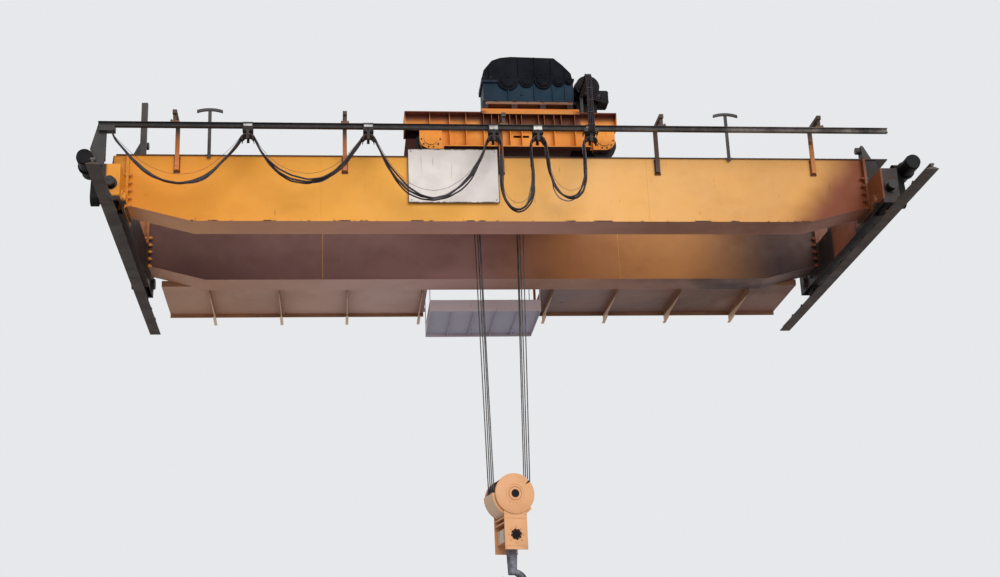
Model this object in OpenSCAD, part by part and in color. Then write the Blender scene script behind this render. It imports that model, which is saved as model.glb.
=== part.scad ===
// Overhead bridge crane: two box girders on end carriages, a wheeled hoist crab,
// an eight-fall hook block and a cable festoon. X runs along the girders, Y across
// them and Z up; the origin is on the underside of the left runway rail.

/* [Runway] */
// distance between the centres of the two runway rails
rail_gauge = 11400; // [8000:100:16000]
// length of each piece of runway rail
runway_length = 7400; // [6400:100:9000]
// height of the runway rail with its sole plate
runway_height = 90; // [60:5:140]

/* [Girders] */
// depth of a girder between the haunches
girder_depth = 1050; // [800:10:1400]
// depth of a girder at its ends
end_depth = 795; // [500:5:1000]
// width of a girder over its two webs
girder_width = 480; // [360:10:700]
// distance from one girder's front web to the other's
girder_spacing = 2550; // [2000:10:3500]
// distance from a rail's centre to where the haunch meets the level bottom
haunch_start = 1080; // [800:10:1600]
// height of the girder deck above the origin
deck_top = 1120; // [1000:10:1400]
// thickness of the deck and bottom plates
flange_plate = 16; // [10:1:30]
// thickness of a web plate
web_plate = 10; // [6:1:20]
// how far the deck and bottom plates stand out past the webs
flange_lip = 22; // [10:1:40]

/* [End carriages] */
// width of an end carriage
carriage_width = 260; // [200:10:400]
// underside of an end carriage above the origin
carriage_bottom = 150; // [120:5:200]
// top of an end carriage above the origin
carriage_top = 700; // [500:10:800]
// distance between the bridge wheels on one side
bridge_wheelbase = 3690; // [3000:10:4500]
// tread radius of a bridge wheel
bridge_wheel_r = 200; // [150:5:250]

/* [Crab] */
// length of the crab frame along the girders
crab_length = 3250; // [2800:10:4000]
// left end of the crab frame from the left rail's centre
crab_left = 4200; // [3900:10:4400]
// distance between the crab's wheel axles
crab_wheelbase = 2640; // [2200:10:3000]
// tread radius of a crab wheel
crab_wheel_r = 200; // [160:5:240]
// height of the crab rail above the deck
crab_rail_height = 100; // [70:5:140]
// underside of the crab's side frames above the deck
frame_bottom = 180; // [160:5:240]
// top of the crab's side frames above the deck
frame_top = 740; // [600:10:900]

/* [Hoist] */
// distance from the left rail to the hoist's centre line
hoist_x = 5720; // [5600:10:5900]
// radius of the rope drum
drum_r = 300; // [200:10:350]
// pitch radius of the block's sheaves
sheave_r = 280; // [200:5:320]
// diameter of the hoist rope
rope_d = 18; // [12:1:28]
// height of the block's sheave centre above the origin
block_z = -3770; // [-5000:10:-1500]
// how far the hanging block has turned on its ropes, in degrees
block_turn = 12; // [-15:1:15]
// height of the crab's sheave centre above the deck
top_sheave_z = 560; // [500:10:700]

/* [Festoon] */
// distance of the festoon track in front of the front web
track_y = -500; // [-700:10:-350]
// height of the middle of the festoon track above the deck
track_z = 250; // [150:10:400]
// diameter of a festoon cable
cable_d = 30; // [16:1:40]

/* [Walkway] */
// width of the rear walkway
walkway_width = 1450; // [800:10:1600]
// height of the walkway's underside above the origin
walkway_z = 80; // [60:5:400]

/* [Hidden] */
yellow = [0.91, 0.60, 0.16];
orange = [0.88, 0.45, 0.13];
steel = [0.30, 0.29, 0.29];
dark = [0.16, 0.16, 0.18];
teal = [0.14, 0.33, 0.45];
navy = [0.12, 0.13, 0.20];
pale = [0.85, 0.83, 0.76];
rear_y = girder_spacing;
mid_y = (girder_spacing + girder_width) / 2;
girder_z = deck_top - girder_depth;
end_z = deck_top - end_depth;
joint_plate = 20;
seat_gap = 0.3;
web_back = 130;
axle_plate_r = 170;
web_left = carriage_width / 2 + 2 * joint_plate;
web_right = rail_gauge - web_left;
deck_left = -30;
deck_right = rail_gauge + 250;
bridge_axle_z = runway_height + bridge_wheel_r + seat_gap;
wheel_front_y = mid_y - bridge_wheelbase / 2;
wheel_rear_y = mid_y + bridge_wheelbase / 2;
carriage_front = wheel_front_y - 290;
carriage_rear = wheel_rear_y + 290;
crab_right = crab_left + crab_length;
crab_axle_left = crab_left + 390;
crab_axle_right = crab_axle_left + crab_wheelbase;
crab_axle_z = deck_top + crab_rail_height + crab_wheel_r + seat_gap;
rail_front_y = girder_width / 2;
rail_rear_y = rear_y + girder_width / 2;
frame_low = deck_top + frame_bottom;
frame_high = deck_top + frame_top;
seat_left = 5380;
seat_right = 6880;
seat_high = deck_top + 830;
foot_high = seat_high + 90;
case_left = 5400;
case_right = 6840;
case_split = deck_top + 1340;
case_front = 90;
case_back = 620;
drum_z = case_split;
drum_x = 5810;
motor_x = 7060;
motor_z = case_split - 60;
sheave_z = deck_top + top_sheave_z;
track_mid = deck_top + track_z;
post_face = -flange_lip - 4;
post_x = [850, 3300, 5640, 8020, 10450];
anchor_x = -60;
car_x = [1900, 3640, 5480, 6140];
tow_x = 6930;

walkway_y = rear_y + girder_width + flange_lip;
walkway_left = 330;
walkway_right = 11000;
platform_left = 4690;
platform_right = 6610;
platform_z = deck_top - 1410;

// a profile drawn in X and Z, carried along Y from y0 to y1
module along_y(y0, y1) {
    translate([0, y1, 0])
        rotate([90, 0, 0])
            linear_extrude(y1 - y0)
                children();
}

// a profile drawn in Y and Z, carried along X from x0 to x1
module along_x(x0, x1) {
    translate([x0, 0, 0])
        rotate([90, 0, 90])
            linear_extrude(x1 - x0)
                children();
}

// a box from its two opposite corners
module block(low, high) {
    translate(low)
        cube(high - low);
}

// a round bar along Y
module bar_y(x, z, y0, y1, r, faces = 32) {
    translate([x, y1, z])
        rotate([90, 0, 0])
            cylinder(h = y1 - y0, r = r, $fn = faces);
}

// a round bar along X
module bar_x(y, z, x0, x1, r, faces = 32) {
    translate([x0, y, z])
        rotate([0, 90, 0])
            cylinder(h = x1 - x0, r = r, $fn = faces);
}

// a closed tube of round rings through points that lie in a plane of constant Y
function unit(v) = v / norm(v);
function heading(p, i) = unit(p[min(i + 1, len(p) - 1)] - p[max(i - 1, 0)]);
module tube(p, radii, sides = 8) {
    rings = [for (i = [0 : len(p) - 1])
        let (side = cross(heading(p, i), [0, 1, 0]))
            for (k = [0 : sides - 1])
                let (a = 360 * k / sides)
                    p[i] + radii[i] * (cos(a) * side + sin(a) * [0, 1, 0])];
    last = len(p) - 1;
    polyhedron(rings, concat(
        [[for (k = [sides - 1 : -1 : 0]) k]],
        [[for (k = [0 : sides - 1]) last * sides + k]],
        [for (i = [0 : last - 1]) for (k = [0 : sides - 1])
            let (n = (k + 1) % sides)
                [i * sides + k, i * sides + n, (i + 1) * sides + n, (i + 1) * sides + k]]));
}

// runway rail: sole plate, foot, web and rounded head
module runway_rail(x) {
    translate([x, 0, 0])
        along_y(mid_y - runway_length / 2, mid_y + runway_length / 2)
            union() {
                translate([-90, 0])
                    square([180, 15]);
                polygon([[-62, 14], [62, 14], [62, 24], [16, 34], [16, 58], [32, 66],
                    [32, runway_height - 5], [27, runway_height], [-27, runway_height],
                    [-32, runway_height - 5], [-32, 66], [-16, 58], [-16, 34], [-62, 24]]);
            }
}

module runway_rail_left() {
    color(steel)
        runway_rail(0);
}

module runway_rail_right() {
    color(steel)
        runway_rail(rail_gauge);
}

// side outline of a girder web, with a haunch at each end
module web_outline() {
    polygon([[web_left, deck_top - flange_plate], [web_left, end_z],
        [haunch_start, girder_z + flange_plate],
        [rail_gauge - haunch_start, girder_z + flange_plate],
        [web_right, end_z], [web_right, deck_top - flange_plate]]);
}

module girder_webs(y) {
    for (w = [0, girder_width - web_plate])
        along_y(y + w, y + w + web_plate)
            web_outline();
    for (x = [web_left, web_right - joint_plate])
        block([x, y + web_plate, end_z + 12],
            [x + joint_plate, y + girder_width - web_plate, deck_top - flange_plate]);
    for (x = [haunch_start : (rail_gauge - 2 * haunch_start) / 6 : rail_gauge - haunch_start])
        block([x - 4, y + web_plate, girder_z + 150],
            [x + 4, y + girder_width - web_plate, deck_top - flange_plate]);
}

module girder_deck(y) {
    block([deck_left, y - flange_lip, deck_top - flange_plate],
        [deck_right, y + girder_width + flange_lip, deck_top]);
}

// bottom plate bent up along both haunches
module girder_bottom(y) {
    slope = atan2(end_z - girder_z - flange_plate, haunch_start - web_left);
    drop = flange_plate / cos(slope);
    along_y(y - flange_lip, y + girder_width + flange_lip)
        polygon([[web_left, end_z], [haunch_start, girder_z + flange_plate],
            [rail_gauge - haunch_start, girder_z + flange_plate], [web_right, end_z],
            [web_right, end_z - drop], [rail_gauge - haunch_start, girder_z],
            [haunch_start, girder_z], [web_left, end_z - drop]]);
}

module front_girder_webs() {
    color(yellow)
        girder_webs(0);
}

module front_girder_deck() {
    color(yellow)
        girder_deck(0);
}

module front_girder_bottom() {
    color(yellow)
        girder_bottom(0);
}

module rear_girder_webs() {
    color(yellow)
        girder_webs(rear_y);
}

module rear_girder_deck() {
    color(yellow)
        girder_deck(rear_y);
}

module rear_girder_bottom() {
    color(yellow)
        girder_bottom(rear_y);
}

// box carriage with a wheel pocket at each end, joined to the girders by bolted plates
module end_carriage(x, side) {
    half = carriage_width / 2;
    wall = 12;
    difference() {
        block([x - half, carriage_front, carriage_bottom], [x + half, carriage_rear, carriage_top]);
        for (y = [wheel_front_y, wheel_rear_y]) {
            block([x - half + wall, y - 250, carriage_bottom - 10],
                [x + half - wall, y + 250, carriage_top - wall]);
            bar_x(y, bridge_axle_z, x - half - 10, x + half + 10, 42);
        }
        block([x - half + wall, wheel_front_y + 262, carriage_bottom + wall],
            [x + half - wall, wheel_rear_y - 262, carriage_top - wall]);
    }
    face = x + side * half;
    for (y = [0, rear_y])
        for (k = [0, 1]) {
            a = face + side * k * joint_plate;
            b = a + side * joint_plate;
            block([min(a, b), y - 80, carriage_bottom + (k == 0 ? 100 : 110)],
                [max(a, b), y + girder_width + flange_lip, deck_top - flange_plate]);
        }
    for (y = [0, girder_width - 12, rear_y, rear_y + girder_width - 12])
        along_y(y, y + 12)
            polygon([[x + side * half, carriage_top], [x - side * (half - 20), carriage_top],
                [x - side * (half - 60), deck_top - flange_plate],
                [x + side * half, deck_top - flange_plate]]);
}

module end_carriage_left() {
    color(orange)
        end_carriage(0, 1);
}

module end_carriage_right() {
    color(orange)
        end_carriage(rail_gauge, -1);
}

// flanged bearing housing on both faces of a carriage at each wheel
module bearing_housing(x, y, side) {
    face = x + side * carriage_width / 2;
    translate([face, y, bridge_axle_z])
        rotate([0, side * 90, 0])
            difference() {
                union() {
                    cylinder(h = 18, r = 130, $fn = 40);
                    cylinder(h = 60, r1 = 98, r2 = 88, $fn = 40);
                    for (a = [22.5 : 45 : 337.5])
                        rotate(a)
                            translate([112, 0, 0])
                                cylinder(h = 30, r = 12, $fn = 6);
                }
                translate([0, 0, -1])
                    cylinder(h = 50, r = 36.05, $fn = 32);
            }
}

module wheel_bearing_housings() {
    color(orange)
        for (x = [0, rail_gauge], y = [wheel_front_y, wheel_rear_y], s = [-1, 1])
            bearing_housing(x, y, s);
}

module crab_rails() {
    color(steel)
        for (y = [rail_front_y, rail_rear_y])
            translate([0, y, deck_top])
                along_x(deck_left + 120, deck_right - 120)
                    polygon([[-60, 0], [60, 0], [60, 10], [16, 20], [16, crab_rail_height - 30],
                        [32, crab_rail_height - 22], [32, crab_rail_height - 5],
                        [27, crab_rail_height], [-27, crab_rail_height],
                        [-32, crab_rail_height - 5], [-32, crab_rail_height - 22],
                        [-16, crab_rail_height - 30], [-16, 20], [-60, 10]]);
}

// stop at each end of a crab rail, with a rubber pad facing the crab
module end_stop(x, y, side) {
    translate([x, 0, deck_top])
        for (w = [-76, 64])
            along_y(y + w, y + w + 12)
                polygon([[0, 0], [-side * 150, 0], [-side * 150, 40], [-side * 20, 300], [0, 300]]);
    a = x + side * 14;
    block([min(x, a), y - 80, deck_top + crab_rail_height + 10],
        [max(x, a), y + 80, deck_top + 310]);
    bar_x(y, deck_top + 245, min(a, a + side * 70), max(a, a + side * 70), 55);
}

module rail_end_stops() {
    color(dark)
        for (y = [rail_front_y, rail_rear_y]) {
            end_stop(320, y, 1);
            end_stop(rail_gauge - 60, y, -1);
        }
}

module carriage_buffers() {
    color(dark)
        for (x = [0, rail_gauge])
            for (e = [[carriage_front, -1], [carriage_rear, 1]]) {
                bar_y(x, 400, min(e[0], e[0] + e[1] * 16), max(e[0], e[0] + e[1] * 16), 95);
                bar_y(x, 400, min(e[0], e[0] + e[1] * 120), max(e[0], e[0] + e[1] * 120), 70);
            }
}

module walkway_deck() {
    color(yellow)
        difference() {
            union() {
                block([walkway_left, walkway_y + 6, walkway_z + 60],
                    [walkway_right, walkway_y + walkway_width, walkway_z + 66]);
                block([walkway_left, walkway_y + 6, walkway_z + 60],
                    [walkway_right, walkway_y + 16, walkway_z + 160]);
                block([walkway_left, walkway_y + walkway_width - 10, walkway_z - 6],
                    [walkway_right, walkway_y + walkway_width, walkway_z + 160]);
            }
            block([platform_left, walkway_y + 60, walkway_z - 20],
                [platform_right, walkway_y + walkway_width + 20, walkway_z + 200]);
        }
}

// tapered bracket plates that carry the walkway from the rear girder's web
module walkway_brackets() {
    web = rear_y + girder_width;
    out = walkway_y + walkway_width - 12;
    low = walkway_z - 70;
    color(yellow)
        for (x = [1100, 2230, 3350, 4590, 6790, 7880, 8980, 10160]) {
            along_x(x, x + 10)
                polygon([[web, walkway_z + 59.7], [out, walkway_z + 59.7], [out, walkway_z - 6],
                    [walkway_y + 220, low], [walkway_y + 1, low],
                    [walkway_y + 1, girder_z + flange_plate + 1], [web, girder_z + flange_plate + 1]]);
            block([x - 40, walkway_y + 60, walkway_z + 50], [x + 50, out, walkway_z + 59.7]);
        }
}

// handrail along the outer edge, open where the lower platform has its own
module walkway_handrail() {
    y = walkway_y + walkway_width - 34;
    ends = [[walkway_left + 40, platform_left - 60], [platform_right + 60, walkway_right - 40]];
    color(yellow)
        for (e = ends) {
            for (z = [620, 1150])
                bar_x(y, z, e[0] - 30, e[1] + 30, 20, 16);
            for (i = [0 : 3])
                block([e[0] + (e[1] - e[0]) * i / 3 - 22, y - 6, walkway_z + 66],
                    [e[0] + (e[1] - e[0]) * i / 3 + 22, y + 6, 1150]);
        }
}

// lower platform hung in a gap of the walkway, with posts and a rail of its own
module service_platform() {
    y0 = walkway_y + 70;
    y1 = walkway_y + walkway_width;
    left = platform_left + 30;
    right = platform_right - 30;
    step = (right - left - 10) / 5;
    color(yellow)
        union() {
            block([left, y0, platform_z + 50], [right, y1 - 10, platform_z + 56]);
            for (i = [0 : 5])
                block([left + i * step, y0, platform_z],
                    [left + 10 + i * step, y1 - 10, platform_z + 51]);
            block([left, y1 - 10, platform_z - 10], [right, y1, platform_z + 150]);
            block([left, y0 - 8, platform_z], [right, y0 + 1, platform_z + 200]);
            for (x = [left, right - 10]) {
                block([x, y0, platform_z + 50], [x + 10, y1 - 5, platform_z + 200]);
                for (y = [y0, y1 - 60])
                    block([x, y, platform_z + 50], [x + 10, y + 50, 1150]);
                block([x, y0 + 40, 600], [x + 10, y1 - 20, 640]);
                block([x, y0 + 40, 1110], [x + 10, y1 - 20, 1150]);
            }
            for (z = [600, 1110])
                block([left, y1 - 20, z], [right, y1 - 10, z + 40]);
            for (y = [y0, y1 - 60])
                for (x = [[platform_left, left + 1], [right - 1, platform_right]])
                    block([x[0], y, walkway_z + 80], [x[1], y + 50, walkway_z + 140]);
        }
}

// small I-beam that carries the festoon carriages
module festoon_track() {
    color(dark)
        along_x(-230, 11510)
            translate([track_y, track_mid])
                union() {
                    translate([-34, -38])
                        square([68, 8]);
                    translate([-34, 30])
                        square([68, 8]);
                    translate([-3, -31])
                        square([6, 62]);
                }
}

// post on the front web with an arm out to a hanger over the track
module festoon_post(x) {
    top = track_mid + 230;
    block([x - 45, -12, deck_top - 290], [x + 45, 0, deck_top - 40]);
    block([x - 31, post_face, deck_top - 260], [x + 31, -11, deck_top - 60]);
    for (s = [-1, 1])
        block([x + s * 26 - 5, post_face - 40, deck_top - 260], [x + s * 26 + 5, post_face, top]);
    block([x - 31, post_face - 40, deck_top - 260], [x + 31, post_face - 32, top]);
    block([x - 31, track_y - 40, top - 60], [x + 31, post_face, top]);
    block([x - 25, track_y - 6, track_mid + 60], [x + 25, track_y + 6, top - 50]);
    block([x - 60, track_y - 34, track_mid + 38], [x + 60, track_y + 34, track_mid + 62]);
}

module festoon_posts() {
    color(orange)
        for (x = post_x)
            festoon_post(x);
}

// two posts with an arched cross bar on the deck's front edge, and a taller channel at the left
module deck_t_posts() {
    y = -flange_lip - 36;
    color(dark)
        union() {
            block([300, 30, deck_top], [390, 36, deck_top + 860]);
            for (x = [300, 384])
                block([x, 30, deck_top], [x + 6, 90, deck_top + 860]);
            block([280, 20, deck_top], [410, 110, deck_top + 10]);
        }
    color(dark)
        for (x = [1310, 9140]) {
            block([x - 25, y + 12, deck_top - 60], [x + 25, y + 24, deck_top + 702]);
            block([x - 60, y + 24, deck_top - flange_plate], [x + 60, -flange_lip, deck_top - 2]);
            along_y(y, y + 32)
                translate([x, deck_top + 140])
                    intersection() {
                        difference() {
                            circle(r = 600, $fn = 96);
                            circle(r = 560, $fn = 96);
                        }
                        translate([-190, 500])
                            square([380, 200]);
                    }
        }
}

// clamp that holds the fixed end of the cables at the left end of the track
module cable_anchor() {
    color(dark)
        union() {
            block([anchor_x - 150, track_y - 60, track_mid - 120],
                [anchor_x + 75, track_y + 60, track_mid - 38]);
            block([anchor_x - 150, track_y + 10, track_mid - 520],
                [anchor_x - 50, track_y + 60, track_mid - 110]);
            block([anchor_x - 150, min(carriage_front + 30, track_y + 10), track_mid - 560],
                [anchor_x - 50, max(carriage_front + 80, track_y + 60), track_mid - 510]);
            block([anchor_x - 150, carriage_front + 30, carriage_top],
                [anchor_x - 50, carriage_front + 80, track_mid - 510]);
        }
}

module sign_board() {
    color(pale)
        union() {
            block([4240, -46, deck_top - 760], [5580, -42, deck_top + 100]);
            for (x = [4300, 4900, 5500])
                block([x, -42, deck_top - 740], [x + 30, 0, deck_top - 30]);
        }
}

// shaft-mounted gear case beside a wheel, with its motor lying along the carriage
module travel_drive() {
    face = carriage_width / 2 + 64;
    y = wheel_front_y;
    z = bridge_axle_z;
    along_x(face, face + 110)
        hull() {
            translate([y, z])
                circle(r = 120, $fn = 40);
            translate([y + 70, z + 480])
                circle(r = 130, $fn = 40);
        }
    bar_y(face + 170, z + 480, y - 360, y + 190, 118, 40);
    bar_y(face + 170, z + 480, y - 400, y - 359, 108, 40);
    bar_x(y + 70, z + 480, face + 20, face + 170, 90, 40);
    bar_y(face + 170, z + 480, y - 60, y - 30, 140, 40);
    block([carriage_width / 2, y + 150, z + 190], [face + 20, y + 190, z + 250]);
}

module travel_drive_left() {
    color(navy)
        mirror([1, 0, 0])
            travel_drive();
}

module travel_drive_right() {
    color(navy)
        translate([rail_gauge, 0, 0])
            travel_drive();
}

// double-flanged wheel with its stub axle, turned about X
module bridge_wheel(x, y) {
    translate([x, y, bridge_axle_z])
        rotate([0, 90, 0]) {
            rotate_extrude($fn = 64)
                polygon([[0, -50], [bridge_wheel_r + 22, -50], [bridge_wheel_r + 22, -40],
                    [bridge_wheel_r, -36], [bridge_wheel_r, 36], [bridge_wheel_r + 22, 40],
                    [bridge_wheel_r + 22, 50], [0, 50]]);
            cylinder(h = 340, r = 36, center = true, $fn = 32);
        }
}

module bridge_wheel_front_left() {
    color(steel)
        bridge_wheel(0, wheel_front_y);
}

module bridge_wheel_rear_left() {
    color(steel)
        bridge_wheel(0, wheel_rear_y);
}

module bridge_wheel_front_right() {
    color(steel)
        bridge_wheel(rail_gauge, wheel_front_y);
}

module bridge_wheel_rear_right() {
    color(steel)
        bridge_wheel(rail_gauge, wheel_rear_y);
}

// outline of a crab wheel's end plate: round on its outer side, square on its inner side
module axle_outline(side, grow = 0) {
    r = axle_plate_r + grow;
    circle(r = r, $fn = 48);
    translate([-r, 0])
        square([2 * r, 190 + grow]);
    translate([side > 0 ? -r : 0, -r])
        square([r, r]);
}

// side frame of the crab: a web set back between its flanges, ribs, a box at each wheel and an inner plate
module crab_side_frame() {
    beam_low = frame_high - 240;
    along_y(web_back, web_back + 12)
        difference() {
            polygon([[crab_left, beam_low], [crab_axle_left + 60, beam_low], [crab_axle_left + 60, frame_low],
                [crab_axle_right - 60, frame_low], [crab_axle_right - 60, beam_low],
                [crab_right, beam_low], [crab_right, frame_high + 1], [crab_left, frame_high + 1]]);
            translate([crab_left + 1660, frame_low + 200])
                square([240, 36]);
        }
    along_y(girder_width - 22, girder_width - 10)
        difference() {
            polygon([[crab_left, beam_low], [crab_left + 200, beam_low], [crab_left + 200, frame_low],
                [crab_right - 200, frame_low], [crab_right - 200, beam_low], [crab_right, beam_low],
                [crab_right, frame_high + 1], [crab_left, frame_high + 1]]);
            for (x = [crab_axle_left, crab_axle_right])
                translate([x, crab_axle_z])
                    circle(r = 48, $fn = 32);
        }
    for (side = [-1, 1]) {
        x = side < 0 ? crab_axle_left : crab_axle_right;
        along_y(30, 42)
            difference() {
                translate([x, crab_axle_z])
                    axle_outline(side, -4);
                translate([x, crab_axle_z])
                    circle(r = 48, $fn = 32);
            }
        along_y(41, web_back + 1)
            translate([x, crab_axle_z])
                difference() {
                    axle_outline(side, -4);
                    axle_outline(side, -16);
                }
    }
    block([crab_left, 4, frame_high], [crab_right, girder_width - 4, frame_high + 14]);
    block([crab_left, 36, beam_low], [crab_right, web_back + 1, beam_low + 12]);
    block([crab_axle_left + 200, 6, frame_low], [crab_axle_right - 200, web_back + 1, frame_low + 14]);
    block([crab_left + 700, web_back + 1, frame_low], [crab_right - 700, girder_width - 21, frame_low + 12]);
    for (x = [680, 930, 1200, 1430, 1600, 1780, 2040, 2280, 2600])
        block([crab_left + x - 5, 6, frame_low], [crab_left + x + 5, web_back + 1, frame_high + 1]);
    for (x = [380, 1320, 1700, 2130, 2390, 2860])
        block([crab_left + x - 5, 6, beam_low + 11], [crab_left + x + 5, web_back + 1, frame_high + 1]);
    for (x = [crab_left, crab_right - 12])
        block([x, 6, beam_low], [x + 12, girder_width - 10, frame_high + 1]);
}

module crab_frame_front() {
    color(orange)
        crab_side_frame();
}

module crab_frame_rear() {
    color(orange)
        translate([0, rear_y + girder_width, 0])
            mirror([0, 1, 0])
                crab_side_frame();
}

// cross girders and floor between the side frames, with an opening for the ropes
module crab_cross_frame() {
    y0 = girder_width - 10 + seat_gap;
    y1 = rear_y + 10 - seat_gap;
    color(orange)
        union() {
            for (x = [crab_axle_left + 240, crab_axle_right - 440])
                difference() {
                    block([x, y0, frame_low + 60], [x + 200, y1, frame_high]);
                    block([x + 10, y0 - 1, frame_low + 70], [x + 190, y1 + 1, frame_high - 10]);
                }
            difference() {
                block([crab_left + 60, girder_width - 4 + seat_gap, frame_high],
                    [crab_right - 60, rear_y + 4 - seat_gap, frame_high + 8]);
                block([hoist_x - 430, 800, frame_high - 20], [hoist_x + 430, 2230, frame_high + 20]);
            }
            for (y = [788, 2230])
                block([crab_axle_left + 439, y, frame_low + 220],
                    [crab_axle_right - 439, y + 12, frame_high + 1]);
        }
}

// bolted end plate that carries a crab wheel's axle
module axle_box(x, y, out, cap) {
    b = y + out * 30;
    side = x == crab_axle_left ? -1 : 1;
    along_y(min(y, b), max(y, b))
        difference() {
            translate([x, crab_axle_z])
                axle_outline(side);
            translate([x, crab_axle_z])
                circle(r = 42.05, $fn = 32);
        }
    bar_y(x, crab_axle_z, min(b, b + out * cap), max(b, b + out * cap), 105, 40);
}

module crab_axle_boxes() {
    color(orange)
        for (x = [crab_axle_left, crab_axle_right]) {
            axle_box(x, 30, -1, 14);
            axle_box(x, girder_width - 10, 1, 45);
            axle_box(x, rear_y + 10, -1, 45);
            axle_box(x, rear_y + girder_width - 30, 1, 14);
        }
}

// raised box that carries the gear case
module gearbox_seat() {
    color(orange)
        union() {
            difference() {
                block([seat_left + 60, 70, frame_high + 14], [seat_right - 60, 650, seat_high - 40]);
                block([seat_left + 72, 82, frame_high + 13], [seat_right - 72, 638, seat_high - 50]);
            }
            block([seat_left, 50, seat_high - 50], [seat_right, 670, seat_high]);
        }
}

// gear case: bearing bosses on the split line, a ribbed lower half and a domed upper half
gear_x = [drum_x, 6100, 6360, 6600, 6760];
boss_r = [167, 115, 140, 95, 60];
module bearing_bosses() {
    for (i = [0 : 4])
        along_y(case_front, case_back)
            translate([gear_x[i], case_split])
                circle(r = boss_r[i], $fn = 48);
}

module gearbox_lower_case() {
    color(teal)
        difference() {
            union() {
                block([case_left + 25, case_front + 30, foot_high + 20],
                    [case_right - 15, case_back - 30, case_split]);
                block([case_left, case_front - 20, foot_high], [case_right, case_back + 20, foot_high + 40]);
                for (x = [5440, 5890, 6330, 6750])
                    block([x - 45, case_front - 20, seat_high], [x + 45, case_back + 20, foot_high + 10]);
                for (x = [gear_x[0], 6215, 6500, 6695])
                    block([x - 8, case_front + 2, foot_high + 30], [x + 8, case_back - 2, case_split - 90]);
                block([case_left, case_front, case_split - 40], [gear_x[0] - 160, case_back, case_split]);
                bar_y(gear_x[4], case_split - 150, case_back - 31, 751, 90, 40);
                block([6620, 750, motor_z - 170], [7250, 900, motor_z + 190]);
                block([6660, 770, frame_high + 8], [7200, 880, motor_z - 169]);
            }
            for (i = [0 : 4])
                along_y(case_front - 30, case_back + 30)
                    translate([gear_x[i], case_split])
                        circle(r = boss_r[i] + seat_gap, $fn = 48);
        }
}

module gearbox_upper_case() {
    color(navy)
        union() {
            along_y(case_front + 30, case_back - 30)
                polygon([[case_left + 10, case_split], [case_left + 12, case_split + 70],
                    [case_left + 40, case_split + 180], [case_left + 170, case_split + 345],
                    [case_left + 300, case_split + 395], [case_left + 470, case_split + 415],
                    [case_left + 1140, case_split + 400], [case_left + 1270, case_split + 285],
                    [case_right - 42, case_split + 140], [case_right - 15, case_split]]);
            block([case_left, case_front, case_split], [case_right, case_back, case_split + 36]);
            bearing_bosses();
        }
}

// ribbed motor on feet, its shaft along Y
module hoist_motor() {
    z = motor_z;
    color(navy)
        union() {
            difference() {
                bar_y(motor_x, z, 300, 750 - seat_gap, 205, 48);
                for (a = [0 : 15 : 345])
                    translate([motor_x, 0, z])
                        rotate([0, a, 0])
                            block([190, 320, -14], [220, 690, 14]);
            }
            bar_y(motor_x, z, 160, 301, 185, 48);
            bar_y(motor_x, z, 130, 161, 150, 40);
            block([motor_x + 180, 340, z - 190], [motor_x + 340, 600, z + 20]);
            for (y = [350, 600])
                block([motor_x - 160, y, y < 470 ? frame_high + 14 : frame_high + 8],
                    [motor_x + 160, y + 80, z - 150]);
        }
}

// drum brake between the gear case and the motor
module hoist_brake() {
    z = motor_z;
    color(dark)
        union() {
            bar_y(motor_x, z, 900 + seat_gap, 970, 60, 32);
            bar_y(motor_x, z, 969, 1060, 150, 40);
            for (s = [-1, 1])
                block([motor_x + s * 185 - 30, 975, frame_high + 28], [motor_x + s * 185 + 30, 1055, z + 190]);
            for (s = [-1, 1])
                block([motor_x + s * 158 - 12, 980, z - 90], [motor_x + s * 158 + 12, 1050, z + 90]);
            block([motor_x - 215, 995, z + 185], [motor_x + 215, 1035, z + 215]);
            block([motor_x - 215, 965, frame_high + 8], [motor_x + 215, 1065, frame_high + 30]);
        }
}

// far bearing of the rope drum
module drum_pedestal() {
    color(teal)
        difference() {
            union() {
                along_y(2300, 2420)
                    polygon([[drum_x - 260, frame_high + 8], [drum_x + 260, frame_high + 8],
                        [drum_x + 260, frame_high + 50], [drum_x + 130, drum_z],
                        [drum_x - 130, drum_z], [drum_x - 260, frame_high + 50]]);
                bar_y(drum_x, drum_z, 2290, 2430, 130, 48);
            }
            bar_y(drum_x, drum_z, 2280, 2440, 70.05, 64);
        }
}

// grooved rope drum on a shaft along Y
module rope_drum() {
    turn = 22;
    color(steel)
        translate([drum_x, 0, drum_z])
            rotate([-90, 0, 0])
                rotate_extrude($fn = 64)
                    polygon(concat([[0, 632.3], [70, 632.3], [70, 700], [drum_r + 40, 700],
                        [drum_r + 40, 725], [drum_r, 725]],
                        [for (i = [0 : 66]) [drum_r - (i % 2) * 7, 740 + i * turn]],
                        [[drum_r, 2235], [drum_r + 40, 2235], [drum_r + 40, 2260], [70, 2260],
                        [70, 2470], [0, 2470], [0, 2240], [drum_r - 30, 2240],
                        [drum_r - 30, 720], [0, 720]]));
}

// grooved sheave about Y, centred on y, its rope at the pitch radius r
module sheave(x, y, z, r) {
    groove = r - rope_d / 2 - seat_gap;
    translate([x, y, z])
        rotate([-90, 0, 0])
            rotate_extrude($fn = 64)
                polygon([[62, -24], [100, -24], [100, -8], [r - 60, -8],
                    [r - 40, -25], [r + 16, -25], [r + 16, -21],
                    [groove, -11], [groove, 11], [r + 16, 21],
                    [r + 16, 25], [r - 40, 25], [r - 60, 8],
                    [100, 8], [100, 24], [62, 24]]);
}

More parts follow.
